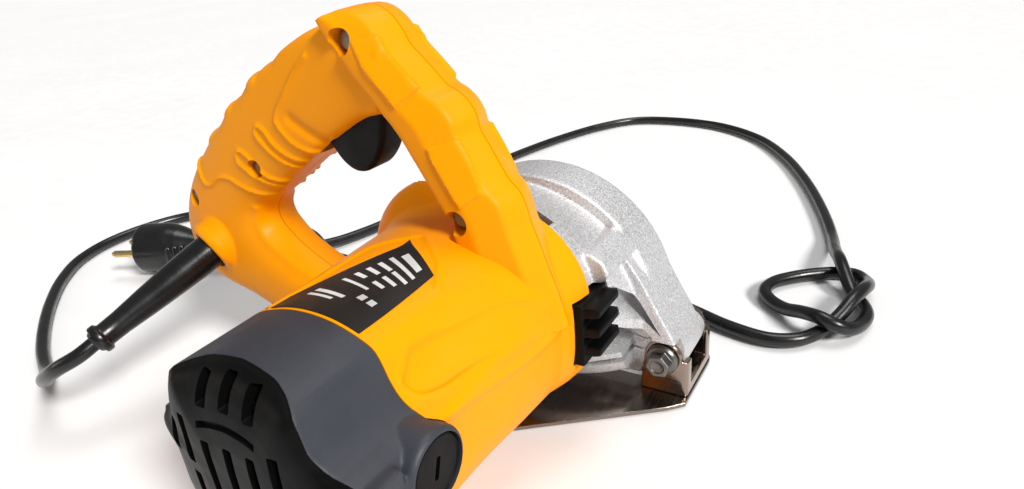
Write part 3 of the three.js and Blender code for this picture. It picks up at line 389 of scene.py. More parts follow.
def evaluated(mesh, *modifiers, partner=None):
    """The mesh after some modifiers; partner is the second mesh of a boolean."""
    thing = bpy.data.objects.new("work", mesh_data("work", mesh))
    bpy.context.scene.collection.objects.link(thing)
    other = None
    if partner is not None:
        other = bpy.data.objects.new("partner", mesh_data("partner", partner))
        bpy.context.scene.collection.objects.link(other)
    for kind, settings in modifiers:
        modifier = thing.modifiers.new(kind, kind)
        for key, value in settings.items():
            setattr(modifier, key, value)
        if kind == "BOOLEAN":
            modifier.object = other
    result = thing.evaluated_get(bpy.context.evaluated_depsgraph_get())
    data = bpy.data.meshes.new_from_object(result)
    made = arrays(data)
    for used in (thing, other):
        if used is not None:
            old = used.data
            bpy.data.objects.remove(used)
            bpy.data.meshes.remove(old)
    bpy.data.meshes.remove(data)
    return made


def outward(mesh):
    """The mesh with its faces turned to face out."""
    data = mesh_data("work", mesh)
    work = bmesh.new()
    work.from_mesh(data)
    bmesh.ops.recalc_face_normals(work, faces=work.faces)
    work.to_mesh(data)
    work.free()
    made = arrays(data)
    bpy.data.meshes.remove(data)
    return made


def fused(meshes, voxel, smooth=4):
    """Overlapping closed meshes melted into one skin with small fillets."""
    whole = joined(*[outward(mesh) for mesh in meshes])
    remesh = ("REMESH", {"mode": "VOXEL", "voxel_size": voxel, "use_smooth_shade": True})
    soften = ("SMOOTH", {"factor": 0.5, "iterations": smooth})
    return evaluated(whole, remesh, soften)


def cut(mesh, cutters):
    cutter = joined(*[outward(c) for c in cutters])
    return evaluated(
        mesh, ("BOOLEAN", {"operation": "DIFFERENCE", "solver": "EXACT", "use_self": True}),
        partner=cutter,
    )


def pushed(mesh, amount):
    """Moves each vertex along its normal by amount(points, normals)."""
    data = mesh_data("work", mesh)
    normals = np.empty(len(data.vertices) * 3)
    data.vertex_normals.foreach_get("vector", normals)
    normals = normals.reshape(-1, 3)
    bpy.data.meshes.remove(data)
    points = mesh[0]
    return points + normals * amount(points, normals)[:, None], mesh[1]


def make(name, mesh, material, body="tool_body", nodes=(), bevel=0.0, smooth_angle=40):
    """Makes a piece from a mesh in millimetres and hides the CAD nodes it stands in for."""
    thing = bpy.data.objects.new(name, mesh_data(name, outward(mesh), MM))
    bpy.context.scene.collection.objects.link(thing)
    thing.data.materials.append(material)
    thing.data.shade_smooth()
    if bevel:
        modifier = thing.modifiers.new("edges", "BEVEL")
        modifier.width = bevel * MM
        modifier.segments = 2
        modifier.limit_method = "ANGLE"
        modifier.angle_limit = math.radians(35)
    thing.data.set_sharp_from_angle(angle=math.radians(smooth_angle))
    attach(thing, body)
    if nodes:
        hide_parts(*nodes)
    return thing


# ---------- the cord, its strain relief and its plug ----------
CORD_EXIT = np.array((-138.0, HANDLE_NEAR_Y, 69.0))
CORD_OUT = np.array((-0.28, -0.88, -0.38)) / np.linalg.norm((-0.28, -0.88, -0.38))
RELIEF_LENGTH = 66.0
CORD_RADIUS = 3.75
SHEATH_RADIUS = 3.5
PLUG_TAIL = np.array((-240.0, 46.0, 17.2))
PLUG_FACE = np.array((-303.0, 18.0, 17.2))
PLUG_LENGTH = np.linalg.norm(PLUG_FACE - PLUG_TAIL)
PLUG_AXIS = (PLUG_FACE - PLUG_TAIL) / PLUG_LENGTH
CORD_GAP = 0.3
RELIEF_TIP = CORD_EXIT + RELIEF_LENGTH * CORD_OUT
CORD_ROUTE = [
    RELIEF_TIP + CORD_GAP * CORD_OUT, RELIEF_TIP + 8 * CORD_OUT,
    (-167, -106, 36), (-182, -107, 27), (-203, -101, 15), (-228, -91, 6), (-256, -80, 3.9),
    (-283, -66, 3.9), (-315, -46, 3.9), (-346, -22, 3.9), (-367, 2, 3.9), (-377, 30, 3.9),
    (-374, 64, 3.9), (-358, 93, 3.9), (-324, 112, 3.9), (-280, 111, 3.9), (-244, 100, 6.5),
    (-210, 86, 11.9), (-178, 74, 6.5), (-140, 82, 3.9), (-90, 96, 3.9), (-30, 106, 3.9),
    (20, 108, 3.9), (50, 104, 3.9), (80, 93, 3.9), (100, 90, 3.9), (112, 95, 3.9),
    (119, 104, 3.9), (124, 115, 4.4), (128, 123, 7.5), (131, 131, 11), (134.5, 142, 12),
    (136, 154, 9), (134, 166, 5), (128, 174, 3.9), (119.5, 173, 3.9), (108, 167, 3.9),
    (97, 158, 3.9), (89, 148, 3.9), (87, 137, 3.9), (92, 128, 3.9), (101, 120, 5),
    (110, 113, 9), (119.5, 106, 12), (127, 105, 10), (133, 110, 6.5), (137, 120, 4),
    (138.5, 131, 3.9), (135, 142, 3.9), (130, 149, 4.4), (125.5, 158, 8), (119.5, 173, 12),
    (115, 190, 9), (109, 222, 3.9), (97, 263, 3.9), (76, 319, 3.9), (50, 372, 3.9),
    (18, 416, 3.9), (-26, 446, 3.9), (-74, 454, 3.9), (-112, 446, 3.9), (-138, 416, 3.9),
    (-160, 366, 3.9), (-175, 313, 3.9), (-184, 262, 3.9), (-186, 215, 3.9), (-184, 164, 3.9),
    (-192, 120, 3.9), (-202, 87, 6),
    PLUG_TAIL - 26 * PLUG_AXIS - np.array((0, 0, 3.0)), PLUG_TAIL - 8 * PLUG_AXIS,
    PLUG_TAIL - CORD_GAP * PLUG_AXIS,
]


def swept(path, section):
    """A round tube of one or several radii along a path, with its section kept level."""
    path = np.array(path, float)
    along = np.gradient(path, axis=0)
    rings = []
    for point, direction, radius in zip(path, along, section):
        side, up, _ = basis(direction)
        angles = np.linspace(0, 2 * math.pi, 20, endpoint=False)
        rings.append(point + radius * (np.cos(angles)[:, None] * side + np.sin(angles)[:, None] * up))
    return loft(rings)


def add_cord():
    path = spline(CORD_ROUTE, 720)
    path[:, 2] = np.maximum(path[:, 2], CORD_RADIUS + 0.05)
    cord = make("power_cord_sheath", swept(path, [SHEATH_RADIUS] * len(path)), RUBBER,
                nodes=["power_cord"])
    length = float(np.sum(np.linalg.norm(np.diff(path, axis=0), axis=1))) * MM
    return cord, path, length


cord, cord_path, cord_length = add_cord()


def plug_shape():
    body = [
        (0, 0), (5.0, 0), (5.4, 0.5), (6.0, 14), (6.9, 21), (8.2, 25), (11.2, 33), (14.2, 40),
        (16.2, 46), (16.8, 49), (17, 52), (17, PLUG_LENGTH - 2), (16.4, PLUG_LENGTH - 0.6),
        (15, PLUG_LENGTH), (0, PLUG_LENGTH),
    ]
    rings = [turned([(r + 1.0, t - 0.9), (r + 1.3, t), (r + 1.0, t + 0.9)], PLUG_TAIL, PLUG_AXIS, 40)
             for r, t in ((5.2, 5), (5.5, 9), (5.9, 13), (6.3, 17))]
    side = np.cross(PLUG_AXIS, (0, 0, 1.0))
    grips = []
    for way in (-1, 1):
        for k in range(4):
            middle = PLUG_TAIL + PLUG_AXIS * (31 + 4 * k) + side * way * (11.2 + 1.3 * k)
            grips.append(turned([(0, -6), (1.1, -5), (1.1, 5), (0, 6)], middle, (0, 0, 1), 16))
    return fused([turned(body, PLUG_TAIL, PLUG_AXIS, 56), *rings, *grips], 0.6, 3)


plug = make("plug_moulding", plug_shape(), RUBBER, nodes=["plug_body"])


def strain_relief():
    sleeve = [
        (0, -16), (8.7, -16), (8.7, -13), (8.4, -12.4), (8.5, 0), (8.4, 10), (7.9, 22), (6.9, 38),
        (5.8, 52), (5.6, 60), (5.9, 60.6), (6.9, 61.2), (7.1, 61.8), (7.1, 63.6), (6.8, 64.3), (5.6, 64.6),
        (5.2, 65.4), (4.6, RELIEF_LENGTH), (0, RELIEF_LENGTH),
    ]
    return turned(sleeve, CORD_EXIT, CORD_OUT, 56)


make("strain_relief_sleeve", strain_relief(), RUBBER, nodes=["strain_relief"])


# ---------- motor housing and handle ----------
ANGLES = np.linspace(0, 2 * math.pi, 120, endpoint=False)


def super_radius(half_width, above, below):
    """Distance from the motor axis to a rounded-square outline, at each of ANGLES."""
    c, s = np.cos(ANGLES), np.sin(ANGLES)
    height = np.where(s >= 0, above, below)
    power = np.where(s >= 0, 2.25, 3.2)
    return (np.abs(c / half_width) ** power + np.abs(s / height) ** power) ** (-1 / power)


def outline_radius(points, centre=(0, 0)):
    """The same for a closed outline given about an axis."""
    dense = spline(points, 720, closed=True) - np.array(centre, float)
    angle = np.arctan2(dense[:, 1], dense[:, 0]) % (2 * math.pi)
    order = np.argsort(angle)
    return np.interp(ANGLES, angle[order], np.hypot(*dense.T)[order], period=2 * math.pi)


# The rear end is bell-shaped: a dome on top, a cove on each side, and brush bosses below them.
BELL = outline_radius([
    (42, -8), (43, 4), (43.5, 9.6), (41, 12), (36.5, 13.2), (32, 16.4), (29, 21.4), (27, 27),
    (25.4, 30.6), (24, 32.2), (16, 35.8), (8, 37.8), (0, 38.4), (-8, 37.9), (-16, 36.2),
    (-26.4, 32.4), (-28.2, 30.6), (-29.8, 27), (-31.6, 21.4), (-34, 16.4), (-38, 13.2),
    (-42, 12), (-44, 9.6), (-43.5, 4), (-42.5, -8), (-41.5, -19), (-38, -28), (-31, -34),
    (-18, -36.6), (0, -37), (18, -36.6), (31, -34.5), (37.5, -29), (41, -19),
])


DIRECTIONS = np.column_stack([np.cos(ANGLES), np.sin(ANGLES)])


def shrunk(radius, wall):
    """The outline that keeps a wall inside the given one, without ever crossing itself."""
    edge = radius[:, None] * DIRECTIONS
    ahead = np.roll(edge, -1, axis=0)
    dense = np.concatenate([edge + (ahead - edge) * t for t in np.linspace(0, 1, 9)[:-1]])
    best = np.zeros(len(radius))
    for share in np.linspace(0.6, 1.0, 81):
        points = share * edge
        gap = np.min(np.linalg.norm(points[:, None] - dense[None], axis=2), axis=1)
        best = np.where(gap >= wall, share, best)
    return best * radius


def about(centre, y, radius, inward=0.0):
    """A ring round an axis along Y; inward leaves room for a wall."""
    if inward:
        radius = shrunk(radius, inward)
    flat = radius[:, None] * DIRECTIONS
    height = np.full(len(ANGLES), y) if np.ndim(y) == 0 else y
    return np.column_stack([centre[0] + flat[:, 0], height, centre[2] + flat[:, 1]])


def ease(value, low, high):
    t = np.clip((value - low) / (high - low), 0, 1)
    return t * t * (3 - 2 * t)


def housing_radius(y):
    stations = [-92, -55, -18, -8, 0]
    half = np.interp(y, stations, [43, 44.5, 46.5, 50.0, 51.5])
    above = np.interp(y, stations, [38.5, 39.5, 40.5, 43, 44.5])
    below = np.interp(y, stations, [37, 39.5, 41, 41.5, 41.5])
    rounded = super_radius(half, above, below)
    bell = ease(-y, 40, 88)
    return BELL * bell + rounded * (1 - bell)


def housing_tube(y0, y1, inward=0.0, count=44):
    return loft([about(MOTOR, y, housing_radius(max(y, HOUSING_REAR_Y)), inward)
                 for y in np.linspace(y0, y1, count)])


def scoop():
    """The flange at the gear end, which flares out on the side away from the louvre."""
    degrees = np.degrees(ANGLES)
    flare = ease(degrees, 96, 122) * (1 - ease(degrees, 172, 214))
    rings = []
    for y, out in ((-15, -4.0), (-11, -1.0), (-8.5, 2.0), (-6, 4.6), (-3.5, 6.2), (-0.1, 6.8)):
        radius = housing_radius(y) - 1.0 + flare * (out + 1.5)
        rings.append(about(MOTOR, y, radius))
    return loft(rings)


def polygon_radius(points, angles):
    """Where rays from the middle meet a convex outline."""
    points = np.array(points, float)
    out = []
    for angle in angles:
        ray = np.array((math.cos(angle), math.sin(angle)))
        best = 0.0
        for a, b in zip(points, np.roll(points, -1, axis=0)):
            edge = b - a
            det = ray[0] * -edge[1] + ray[1] * edge[0]
            if abs(det) < 1e-9:
                continue
            t = (a[0] * -edge[1] + a[1] * edge[0]) / det
            s = (ray[0] * a[1] - ray[1] * a[0]) / det
            if t > 0 and -1e-6 <= s <= 1 + 1e-6:
                best = max(best, t)
        out.append(best)
    return np.array(out)


SECTION_ANGLES = np.linspace(-math.pi, math.pi, 84, endpoint=False)


def round_section(power):
    c, s = np.abs(np.cos(SECTION_ANGLES)), np.abs(np.sin(SECTION_ANGLES))
    return (c**power + s**power) ** (-1 / power)


def sweep_between(outer, inner, near, far, radius, count, wall=0.0):
    """A bar whose section spans an outer and an inner line in X and Z, and near to far in Y."""
    outer, inner = spline(outer, count), spline(inner, count)
    place = np.linspace(0, 1, count)
    near = np.interp(place, np.linspace(0, 1, len(near)), near) + wall
    far = np.interp(place, np.linspace(0, 1, len(far)), far) - wall
    rings = []
    for t, o, i, y0, y1 in zip(place, outer, inner, near, far):
        section = radius(t)
        across, along = section * np.cos(SECTION_ANGLES), section * np.sin(SECTION_ANGLES)
        middle, half = (o + i) / 2, (o - i) / 2
        half = half * (1 - wall / np.linalg.norm(half))
        rings.append(np.column_stack([
            middle[0] + across * half[0], (y0 + y1) / 2 + along * (y1 - y0) / 2,
            middle[1] + across * half[1],
        ]))
    return loft(rings)


ARCH_OUTER = [
    (47, 60), (43, 74), (39.5, 84), (36.5, 93), (33.6, 101), (32, 107.5), (29.8, 112.6),
    (26, 116.4), (22.3, 122.6), (18.6, 129.2), (15.4, 135), (14.6, 139.6), (12, 144.2),
    (7.8, 147.8), (3.8, 149.6), (-0.4, 153.8), (-5.6, 159), (-10.8, 164.2), (-13.4, 169),
    (-17.6, 174), (-24, 177.4), (-31, 177.8),
]
ARCH_INNER = [
    (3, 60), (7, 76), (7.2, 86), (6.6, 94), (5, 102), (2.4, 108), (-0.2, 113), (-3, 118),
    (-6, 123.4), (-9.4, 128.8), (-13, 134), (-16, 138.2), (-18.6, 141.8), (-21, 145), (-24, 148.8),
    (-27.4, 153), (-30.4, 156.6), (-33, 160), (-35.2, 163.2), (-37.2, 166.6), (-39, 170.4),
    (-40, 174),
]
ARCH_SECTION = [
    (-1, -0.3), (-0.66, -1), (-0.05, -1), (0.74, -0.66), (1, -0.1), (1, 0.1), (0.74, 0.66),
    (-0.05, 1), (-0.66, 1), (-1, 0.3),
]
GRIP_OUTER = [
    (-14, 166), (-30, 172.6), (-46, 171.6), (-62, 166), (-84, 154.4), (-104, 141.6),
    (-122, 128.6), (-138, 115.4), (-150, 103.4), (-160, 90), (-166, 76), (-165.6, 63),
    (-159, 53), (-146, 47.4), (-128, 43.4), (-108, 36), (-88, 29.6), (-62, 26), (-36, 28),
]
GRIP_INNER = [
    (-20, 140), (-30, 137.6), (-41, 132.0), (-52, 125.6), (-64, 118.6), (-73, 112.6), (-82, 106.4),
    (-92, 99.6), (-100, 94.4), (-104.6, 88), (-104, 82), (-99, 76.2), (-92.6, 71), (-84, 66),
    (-74, 61.4), (-62, 57.6), (-50, 55.2), (-36, 55), (-22, 58),
]
CORD_BOSS_RADIUS = 13.6


def arch(wall=0.0):
    radius = polygon_radius(ARCH_SECTION, SECTION_ANGLES)
    return sweep_between(ARCH_OUTER, ARCH_INNER, [HANDLE_NEAR_Y] * 2, [HANDLE_FAR_Y] * 2,
                         lambda t: radius, 120, wall)


def grip(wall=0.0):
    near = [-31.2, -31.2, -31.6, -32.5, -33.5, -33.0, -32.0]
    far = [HANDLE_FAR_Y - 2.5] * 3 + [HANDLE_FAR_Y - 0.5] * 4

    def radius(t):
        return round_section(np.interp(t, [0, 0.26, 0.4, 1], [4.6, 4.6, 3.1, 2.8]))

    return sweep_between(GRIP_OUTER, GRIP_INNER, near, far, radius, 150, wall)


# X, Z and the radius of the hole that each handle screw sits in.
HANDLE_HOLES = [(12, 104, 4.9), (-29, 167, 4.9), (-95, 113, 4.2), (-146, 93, 4.2)]


def cord_boss():
    r = CORD_BOSS_RADIUS
    return turned([(0, -22), (r + 1.2, -20), (r + 0.6, -8), (r, -3), (r - 0.2, -0.4), (r - 1.0, 1.2),
                   (r - 2.2, 1.9), (0, 1.9)], CORD_EXIT, CORD_OUT, 56)


def boss_hole():
    return turned([(0, -24), (9.0, -24), (9.0, -3.5), (9.9, -1.4), (10.6, 9), (0, 9)],
                  CORD_EXIT, CORD_OUT, 48)


def line_distance(flat, line, smooth=True):
    """Each point's distance from a run of straight pieces in the same plane."""
    line = spline(line, 50) if smooth else np.array(line, float)
    best = np.full(len(flat), 1e9)
    for a, b in zip(line, line[1:]):
        edge = b - a
        t = np.clip(((flat - a) @ edge) / max(edge @ edge, 1e-9), 0, 1)
        best = np.minimum(best, np.hypot(*(flat - a - t[:, None] * edge).T))
    return best


def inside(flat, outline):
    """Whether each point lies inside a closed outline."""
    result = np.zeros(len(flat), bool)
    for (x0, z0), (x1, z1) in zip(outline, np.roll(outline, -1, axis=0)):
        crosses = (z0 > flat[:, 1]) != (z1 > flat[:, 1])
        reach = (x1 - x0) * (flat[:, 1] - z0) / (z1 - z0 + 1e-12) + x0
        result ^= crosses & (flat[:, 0] < reach)
    return result


def plateau(flat, outline, width):
    """1 inside a closed outline, falling smoothly to 0 over a width across its edge."""
    outline = np.array(outline, float)
    best = line_distance(flat, np.vstack([outline, outline[:1]]), smooth=False)
    signed = np.where(inside(flat, outline), -best, best)
    return 1 - ease(signed, -width / 2, width / 2)


def bead(flat, line, width, smooth=True):
    """A rounded line, 1 along its middle."""
    return np.exp(-((line_distance(flat, line, smooth) / width) ** 2))


# Raised lines round the finger rests on the grip's near and far faces.
GRIP_RIDGES = [
    [(-50, 161.5), (-58, 155), (-67, 145.5), (-72, 140), (-74, 135.5), (-71, 130.5), (-65, 125.5),
     (-55, 122), (-46, 120.6)],
    [(-58, 115), (-70, 115.6), (-79, 119.6), (-85, 124.6), (-88.4, 129), (-87, 132.6), (-83.4, 131.4),
     (-79, 125.8), (-71, 120.4), (-61, 117.4)],
    [(-74, 104), (-84, 104.6), (-92, 107.6), (-100, 112), (-104.8, 116), (-103.4, 120.4),
     (-99.4, 119.8), (-94, 114.8), (-88, 109.8), (-78, 106.8)],
    [(-141, 112), (-136, 107), (-133, 102.6), (-128, 102.2), (-121, 106.3), (-114, 107), (-107, 104),
     (-97, 100.6), (-87, 100.4), (-80, 102)],
]
GRIP_HOLLOW = [(-66, 136.5), (-61, 133.5), (-55, 130), (-49, 126), (-45, 123)]
NECK_CREASE = [(-106, 92), (-108, 84), (-105, 77), (-97, 70.5), (-86, 64.5), (-72, 59), (-56, 55.5)]
GRIP_BUMPS = [(-88, 151), (-108, 138), (-127, 125)]
GRIP_DENTS = [(-74, 159.5), (-98, 145.5), (-118, 132.5)]
ARCH_PADS = [
    [(-24, 167), (-16, 168.6), (-3.8, 158.4), (1.2, 152.4), (-8.4, 144.2), (-16.2, 151.2)],
    [(3.4, 131.2), (14.0, 134.0), (21.8, 115), (12.8, 108.8)],
]


def handle_relief(points, normals):
    """How far the fine features stand out of the smooth handle."""
    flat = points[:, [0, 2]]
    facing = np.abs(normals[:, 1])
    side = ease(facing, 0.12, 0.4) * (flat[:, 0] < -43)
    lift = np.zeros(len(points))
    for ridge in GRIP_RIDGES:
        lift += 1.1 * bead(flat, ridge, 0.95) * side
    lift -= 1.3 * bead(flat, GRIP_HOLLOW, 2.6) * side
    lift += 0.9 * bead(flat, NECK_CREASE, 1.5) * ease(facing, 0.1, 0.3)
    back = ease(normals[:, 2], 0.1, 0.5) * (flat[:, 0] < -60)
    for x, z in GRIP_BUMPS:
        lift += 1.0 * np.exp(-((np.hypot(flat[:, 0] - x, flat[:, 1] - z) / 4.2) ** 4)) * back
    for x, z in GRIP_DENTS:
        lift -= 0.7 * np.exp(-((np.hypot(flat[:, 0] - x, flat[:, 1] - z) / 4.0) ** 2)) * back
    slope = ease(normals[:, 0] + 0.8 * normals[:, 2], 0.12, 0.4) * ease(facing, 0.3, 0.5)
    for pad in ARCH_PADS:
        lift += 1.3 * plateau(flat, pad, 1.0) * slope
    return lift


# Plan views, in X and Y, of the leaf pressed into the barrel and of the label's frame.
LEAF = [(27, -89), (24.6, -81), (25.8, -72), (30.5, -57), (34.5, -44), (38.6, -31), (42, -24)]
LEAF_FOOT = [(27, -89), (31.5, -86), (34.5, -79), (36.8, -67), (39.8, -54), (41.6, -38), (44, -26)]
PANEL_EDGE = [(-24, -90), (-21.5, -58), (-18.5, -47), (-2.5, -34.5), (13.6, -47.6), (20, -58)]


def housing_relief(points, normals):
    """Soft raised and sunk features of the motor barrel."""
    plan = points[:, :2]
    away = np.hypot(points[:, 0] - MOTOR[0], points[:, 2] - MOTOR[2])
    barrel = ((points[:, 1] < -19) & (away < 53)).astype(float)
    upper = ease(normals[:, 2], 0.0, 0.25)
    leaf = np.array(LEAF + LEAF_FOOT[::-1], float)
    lift = -0.7 * plateau(plan, leaf, 1.8) * upper
    lift += 0.5 * (bead(plan, LEAF, 1.0) + bead(plan, LEAF_FOOT, 1.0)) * upper
    lift += 0.8 * bead(plan, PANEL_EDGE, 1.1, smooth=False) * upper
    side = ease(normals[:, 0], 0.3, 0.6)
    ridge = bead(points[:, [1, 2]], [(-84, 66), (-58, 61.5), (-30, 58.6), (-12, 59.6)], 1.6)
    return (lift + 0.7 * ridge * side) * barrel


def handle_cutters():
    cutters = []
    for x, z, r in HANDLE_HOLES:
        cutters.append(turned([(0, -14), (2.2, -14), (2.2, 1.2), (r, 1.4), (r, 22), (0, 22)],
                              (x, -24, z), (0, -1, 0), 36))
    trigger_slot = spline([
        (-27, 152), (-20.5, 146), (-20, 137), (-25.5, 121), (-33, 112.5), (-43, 110), (-52, 113.5),
        (-60, 121), (-69, 133), (-66, 140), (-52, 146), (-40, 150),
    ], 48, closed=True)
    cutters.append(plate_y(trigger_slot, SEAM_Y - 8.4, SEAM_Y + 8.4))
    switch_room = spline([
        (-92, 142), (-84, 131), (-66, 139), (-44, 149), (-46, 158), (-56, 162), (-70, 157),
    ], 40, closed=True)
    cutters.append(plate_y(switch_room, SEAM_Y - 9, SEAM_Y + 9))
    return cutters


def hollow_handle():
    """The room inside the handle, with a post left round each screw."""
    room = fused([arch(wall=3.4), grip(wall=3.4)], 1.6, 2)
    posts = [turned([(0, 0), (6.2, 0), (6.2, 60), (0, 60)], (x, -46, z), (0, 1, 0), 28)
             for x, z, _ in HANDLE_HOLES]
    keep = loft([about(MOTOR, y, housing_radius(-18), 1.0) for y in (-60, 20)])
    return cut(room, posts + [keep])


def keep_side(mesh, y, side):
    low, high = (y, 400) if side < 0 else (-400, y)
    return cut(mesh, [block((-400, low, -400), (400, high, 400))])


def voxel(fine, coarse):
    return fine


VOXEL = voxel(0.8, 1.0)


def handle_halves():
    whole = fused([arch(), grip(), cord_boss()], VOXEL, 2)
    whole = pushed(whole, handle_relief)
    whole = cut(whole, [*handle_cutters(), boss_hole(), hollow_handle()])
    near = keep_side(whole, SEAM_Y - SEAM_GAP / 2, -1)
    far = keep_side(whole, SEAM_Y + SEAM_GAP / 2, 1)
    return near, far


def brush_notches(radius):
    profile = [(0, 30), (radius, 30), (radius, 66), (0, 66)]
    return [turned(profile, BRUSH_PLACE, (side, 0, 0), 72) for side in (-1, 1)]


def add_housing():
    near, far = handle_halves()
    spare = 5
    shell = fused([housing_tube(HOUSING_REAR_Y - spare, -0.1), scoop()], VOXEL, 3)
    shell = pushed(shell, housing_relief)
    core = housing_tube(HOUSING_REAR_Y - spare - 1, -7, inward=3.0, count=30)
    mouth = housing_tube(-9, 3, inward=4.0, count=4)
    cutters = [
        core, mouth, *brush_notches(13.2),
        block((-90, HOUSING_REAR_Y - 40, -10), (90, HOUSING_REAR_Y, 140)),
        block((-90, -0.12, -10), (90, 30, 140)),
        block((35.5, -11.4, 37.4), (62, 1.5, 66.2)),
        block((10.5, -15.4, 8), (33.5, -6.6, 24)),
        slot_window(),
    ]
    shell = cut(shell, cutters)
    near = cut(near, [loft([about(MOTOR, y, housing_radius(-18), 1.4) for y in (-60, 20)])])
    shell = united(shell, near)
    make("motor_housing_shell", shell, YELLOW, nodes=["motor_housing"],
         smooth_angle=35)
    clear = loft([about(MOTOR, y, housing_radius(min(y, -0.1)) + 0.45)
                  for y in np.linspace(-60, 12, 34)])
    low, high = box_mm("lock_button")
    button = turned([(0, -9), (6.6, -9), (6.6, 3.4), (5.4, 3.6), (5.4, 14), (0, 14)],
                    (low + high) / 2, (0, 1, 0), 40)
    far = cut(far, [clear, button])
    make("handle_cover_shell", far, YELLOW, nodes=["handle_cover"], smooth_angle=35)


def united(mesh, other):
    return evaluated(mesh, ("BOOLEAN", {"operation": "UNION", "solver": "EXACT", "use_self": True}),
                     partner=other)


def slot_window():
    """The short slot at the edge next to the casting, in front of the arch."""
    outline = round_corners([(30, 74), (37.5, 74), (37.5, 87), (30, 87)], 2.5)
    return plate_y(outline, -4.4, 3)


add_housing()


# ---------- rear cover ----------
def shoulder_y(angles):
    """Where the side of the cover turns over into its end, round the bell; the end behind this line is
    painted black as painted shade.
    """
    degrees = np.degrees(angles) % 360
    mirrored = np.where(degrees > 90, 180 - degrees, degrees)
    mirrored = np.where(degrees > 180, -np.minimum(degrees - 180, 360 - degrees), mirrored)
    return np.interp(mirrored, [-90, -20, 0, 22, 35, 50, 60, 68, 90],
                     [-122, -121, -120, -124, -125.6, -124.8, -121, -119, -117.8])


def cover_side(y, inward=0.0):
    draft = np.interp(y, [-131, -118, -92], [0.985, 0.99, 1.0])
    return about(MOTOR, y, BELL * draft, inward)


def cover_skin(inward=0.0, step=0.8, back=0.0):
    """The outside of the cover, from its front edge over the shoulder to the middle of the end."""
    edge = shoulder_y(ANGLES)
    front = COVER_FRONT_Y + 2
    rings = []
    for t in np.linspace(0, 1, 16):
        y = front + (edge - front) * t + back * t
        rings.append(cover_side(y, inward))
    for size in (0.995, 0.975, 0.95, 0.91, 0.86, 0.8, 0.7, 0.55, 0.4, 0.2, 0.05):
        depth = (1 - size**2.6) ** 0.5
        y = edge + (COVER_END_Y - edge) * depth + back
        ring = about(MOTOR, y, BELL * 0.985, inward + step)
        ring[:, 0] = MOTOR[0] + (ring[:, 0] - MOTOR[0]) * size
        ring[:, 2] = MOTOR[2] + (ring[:, 2] - MOTOR[2]) * size
        rings.append(ring)
    return loft(rings)


# X, foot and top of each grille slot, from the motor axis.
GRILLE = [
    (-10.8, 25, 34.5), (-0.5, 26, 36), (9.5, 25.4, 35), (-29, 4, 15), (-21, 2.5, 20), (-21, -19, -1.5),
    (-10.5, -25, 14.5), (-0.5, -27, 15), (9.5, -25, 15.5), (18.5, -19, 18.5), (27.5, -13, 8),
]


def grille_slots():
    slots = []
    for x, low, high in GRILLE:
        half = 2.3 if low > 20 else 1.9
        left, right = MOTOR[0] + x - half, MOTOR[0] + x + half
        foot, top = MOTOR[2] + low, MOTOR[2] + high
        outline = round_corners([(left, foot), (right, foot), (right, top), (left, top)], 0.9, 3)
        slots.append(plate_y(outline, COVER_END_Y - 3, COVER_END_Y + 14))
    arc = [(x, 19.2 + 2.4 * math.cos(x / 13 * math.pi / 2)) for x in np.linspace(-13, 12, 14)]
    band = [(x, z + 1.1) for x, z in arc] + [(x, z - 1.1) for x, z in reversed(arc)]
    slots.append(plate_y(np.array(band) + MOTOR[[0, 2]], COVER_END_Y - 3, COVER_END_Y + 2.8))
    return slots


def brush_boss(side):
    r, face = 12.7, 48
    return turned([(0, 28), (r + 1.8, 28), (r + 0.9, 36), (r + 0.3, face - 2), (r - 0.1, face - 0.9),
                   (r - 1.0, face), (0, face)], BRUSH_PLACE, (side, 0, 0), 72)


def brush_well(side):
    return turned([(0, 45.6), (11.3, 45.6), (11.3, 54), (0, 54)], BRUSH_PLACE,
                  (side, 0, 0), 64)


def side_pad():
    """The rounded tablet on the brush side, between the boss and the end."""
    outline = round_corners([(-110, 47), (-110, 68.5), (-124, 68.5), (-124, 47)], 3)
    flat = plate_y(outline, 30, 40.6 + 3.0, 0.8)
    points = flat[0][:, [1, 0, 2]]
    return points, flat[1]


END_GAP = 0.06


def painted_shade_zone(back):
    """The space behind the shoulder line, which parts the end, painted black as painted shade, from the grey
    side.
    """
    line = shoulder_y(ANGLES) + 0.15 + back
    rings = [about(MOTOR, -150, BELL * 1.3)]
    for size, level in ((1.3, 0), (1.0, 0), (0.8, 0), (0.4, 0.8), (0.05, 1)):
        rings.append(about(MOTOR, line * (1 - level) + COVER_MIDDLE_Y * level, BELL * size))
    return loft(rings)


def add_rear_cover():
    cover = fused([cover_skin(), brush_boss(1), brush_boss(-1), side_pad()], voxel(0.6, 1.1), 2)
    screws = [turned([(0, -8), (3.5, -8), (3.5, 16), (0, 16)], (x, -117, z), (0, -1, 0), 28)
              for x, z in ((-31, 35), (25, 35))]
    bosses = [turned([(0, 30), (12.9, 30), (12.9, 60), (0, 60)], BRUSH_PLACE,
                     (side, 0, 0), 64) for side in (-1, 1)]
    front = cut(block((-90, HOUSING_REAR_Y - SEAM_GAP, -10), (90, HOUSING_REAR_Y + 40, 140)), bosses)
    cover = cut(cover, [cover_skin(inward=3.0, back=3.0), brush_well(1), brush_well(-1), *screws,
                        *grille_slots(), front])
    make("rear_cover_shell", cut(cover, [painted_shade_zone(0.0)]), GREY_WITH_BLUE_REFLECTION, nodes=["rear_cover"],
         smooth_angle=32)
    # The cover's end is the same grey plastic facing away from the light; giving it black plastic here is
    # painted shade.
    end = evaluated(cover, ("BOOLEAN", {"operation": "INTERSECT", "solver": "EXACT"}),
                    partner=outward(painted_shade_zone(-END_GAP)))
    make("rear_cover_end_painted_shade", end, BLACK, nodes=["rear_cover"], smooth_angle=32)


add_rear_cover()


# ---------- label ----------
LABEL_CORNERS = [(-26, -91), (-3.4, -41.6), (16, -54), (15.5, -91)]
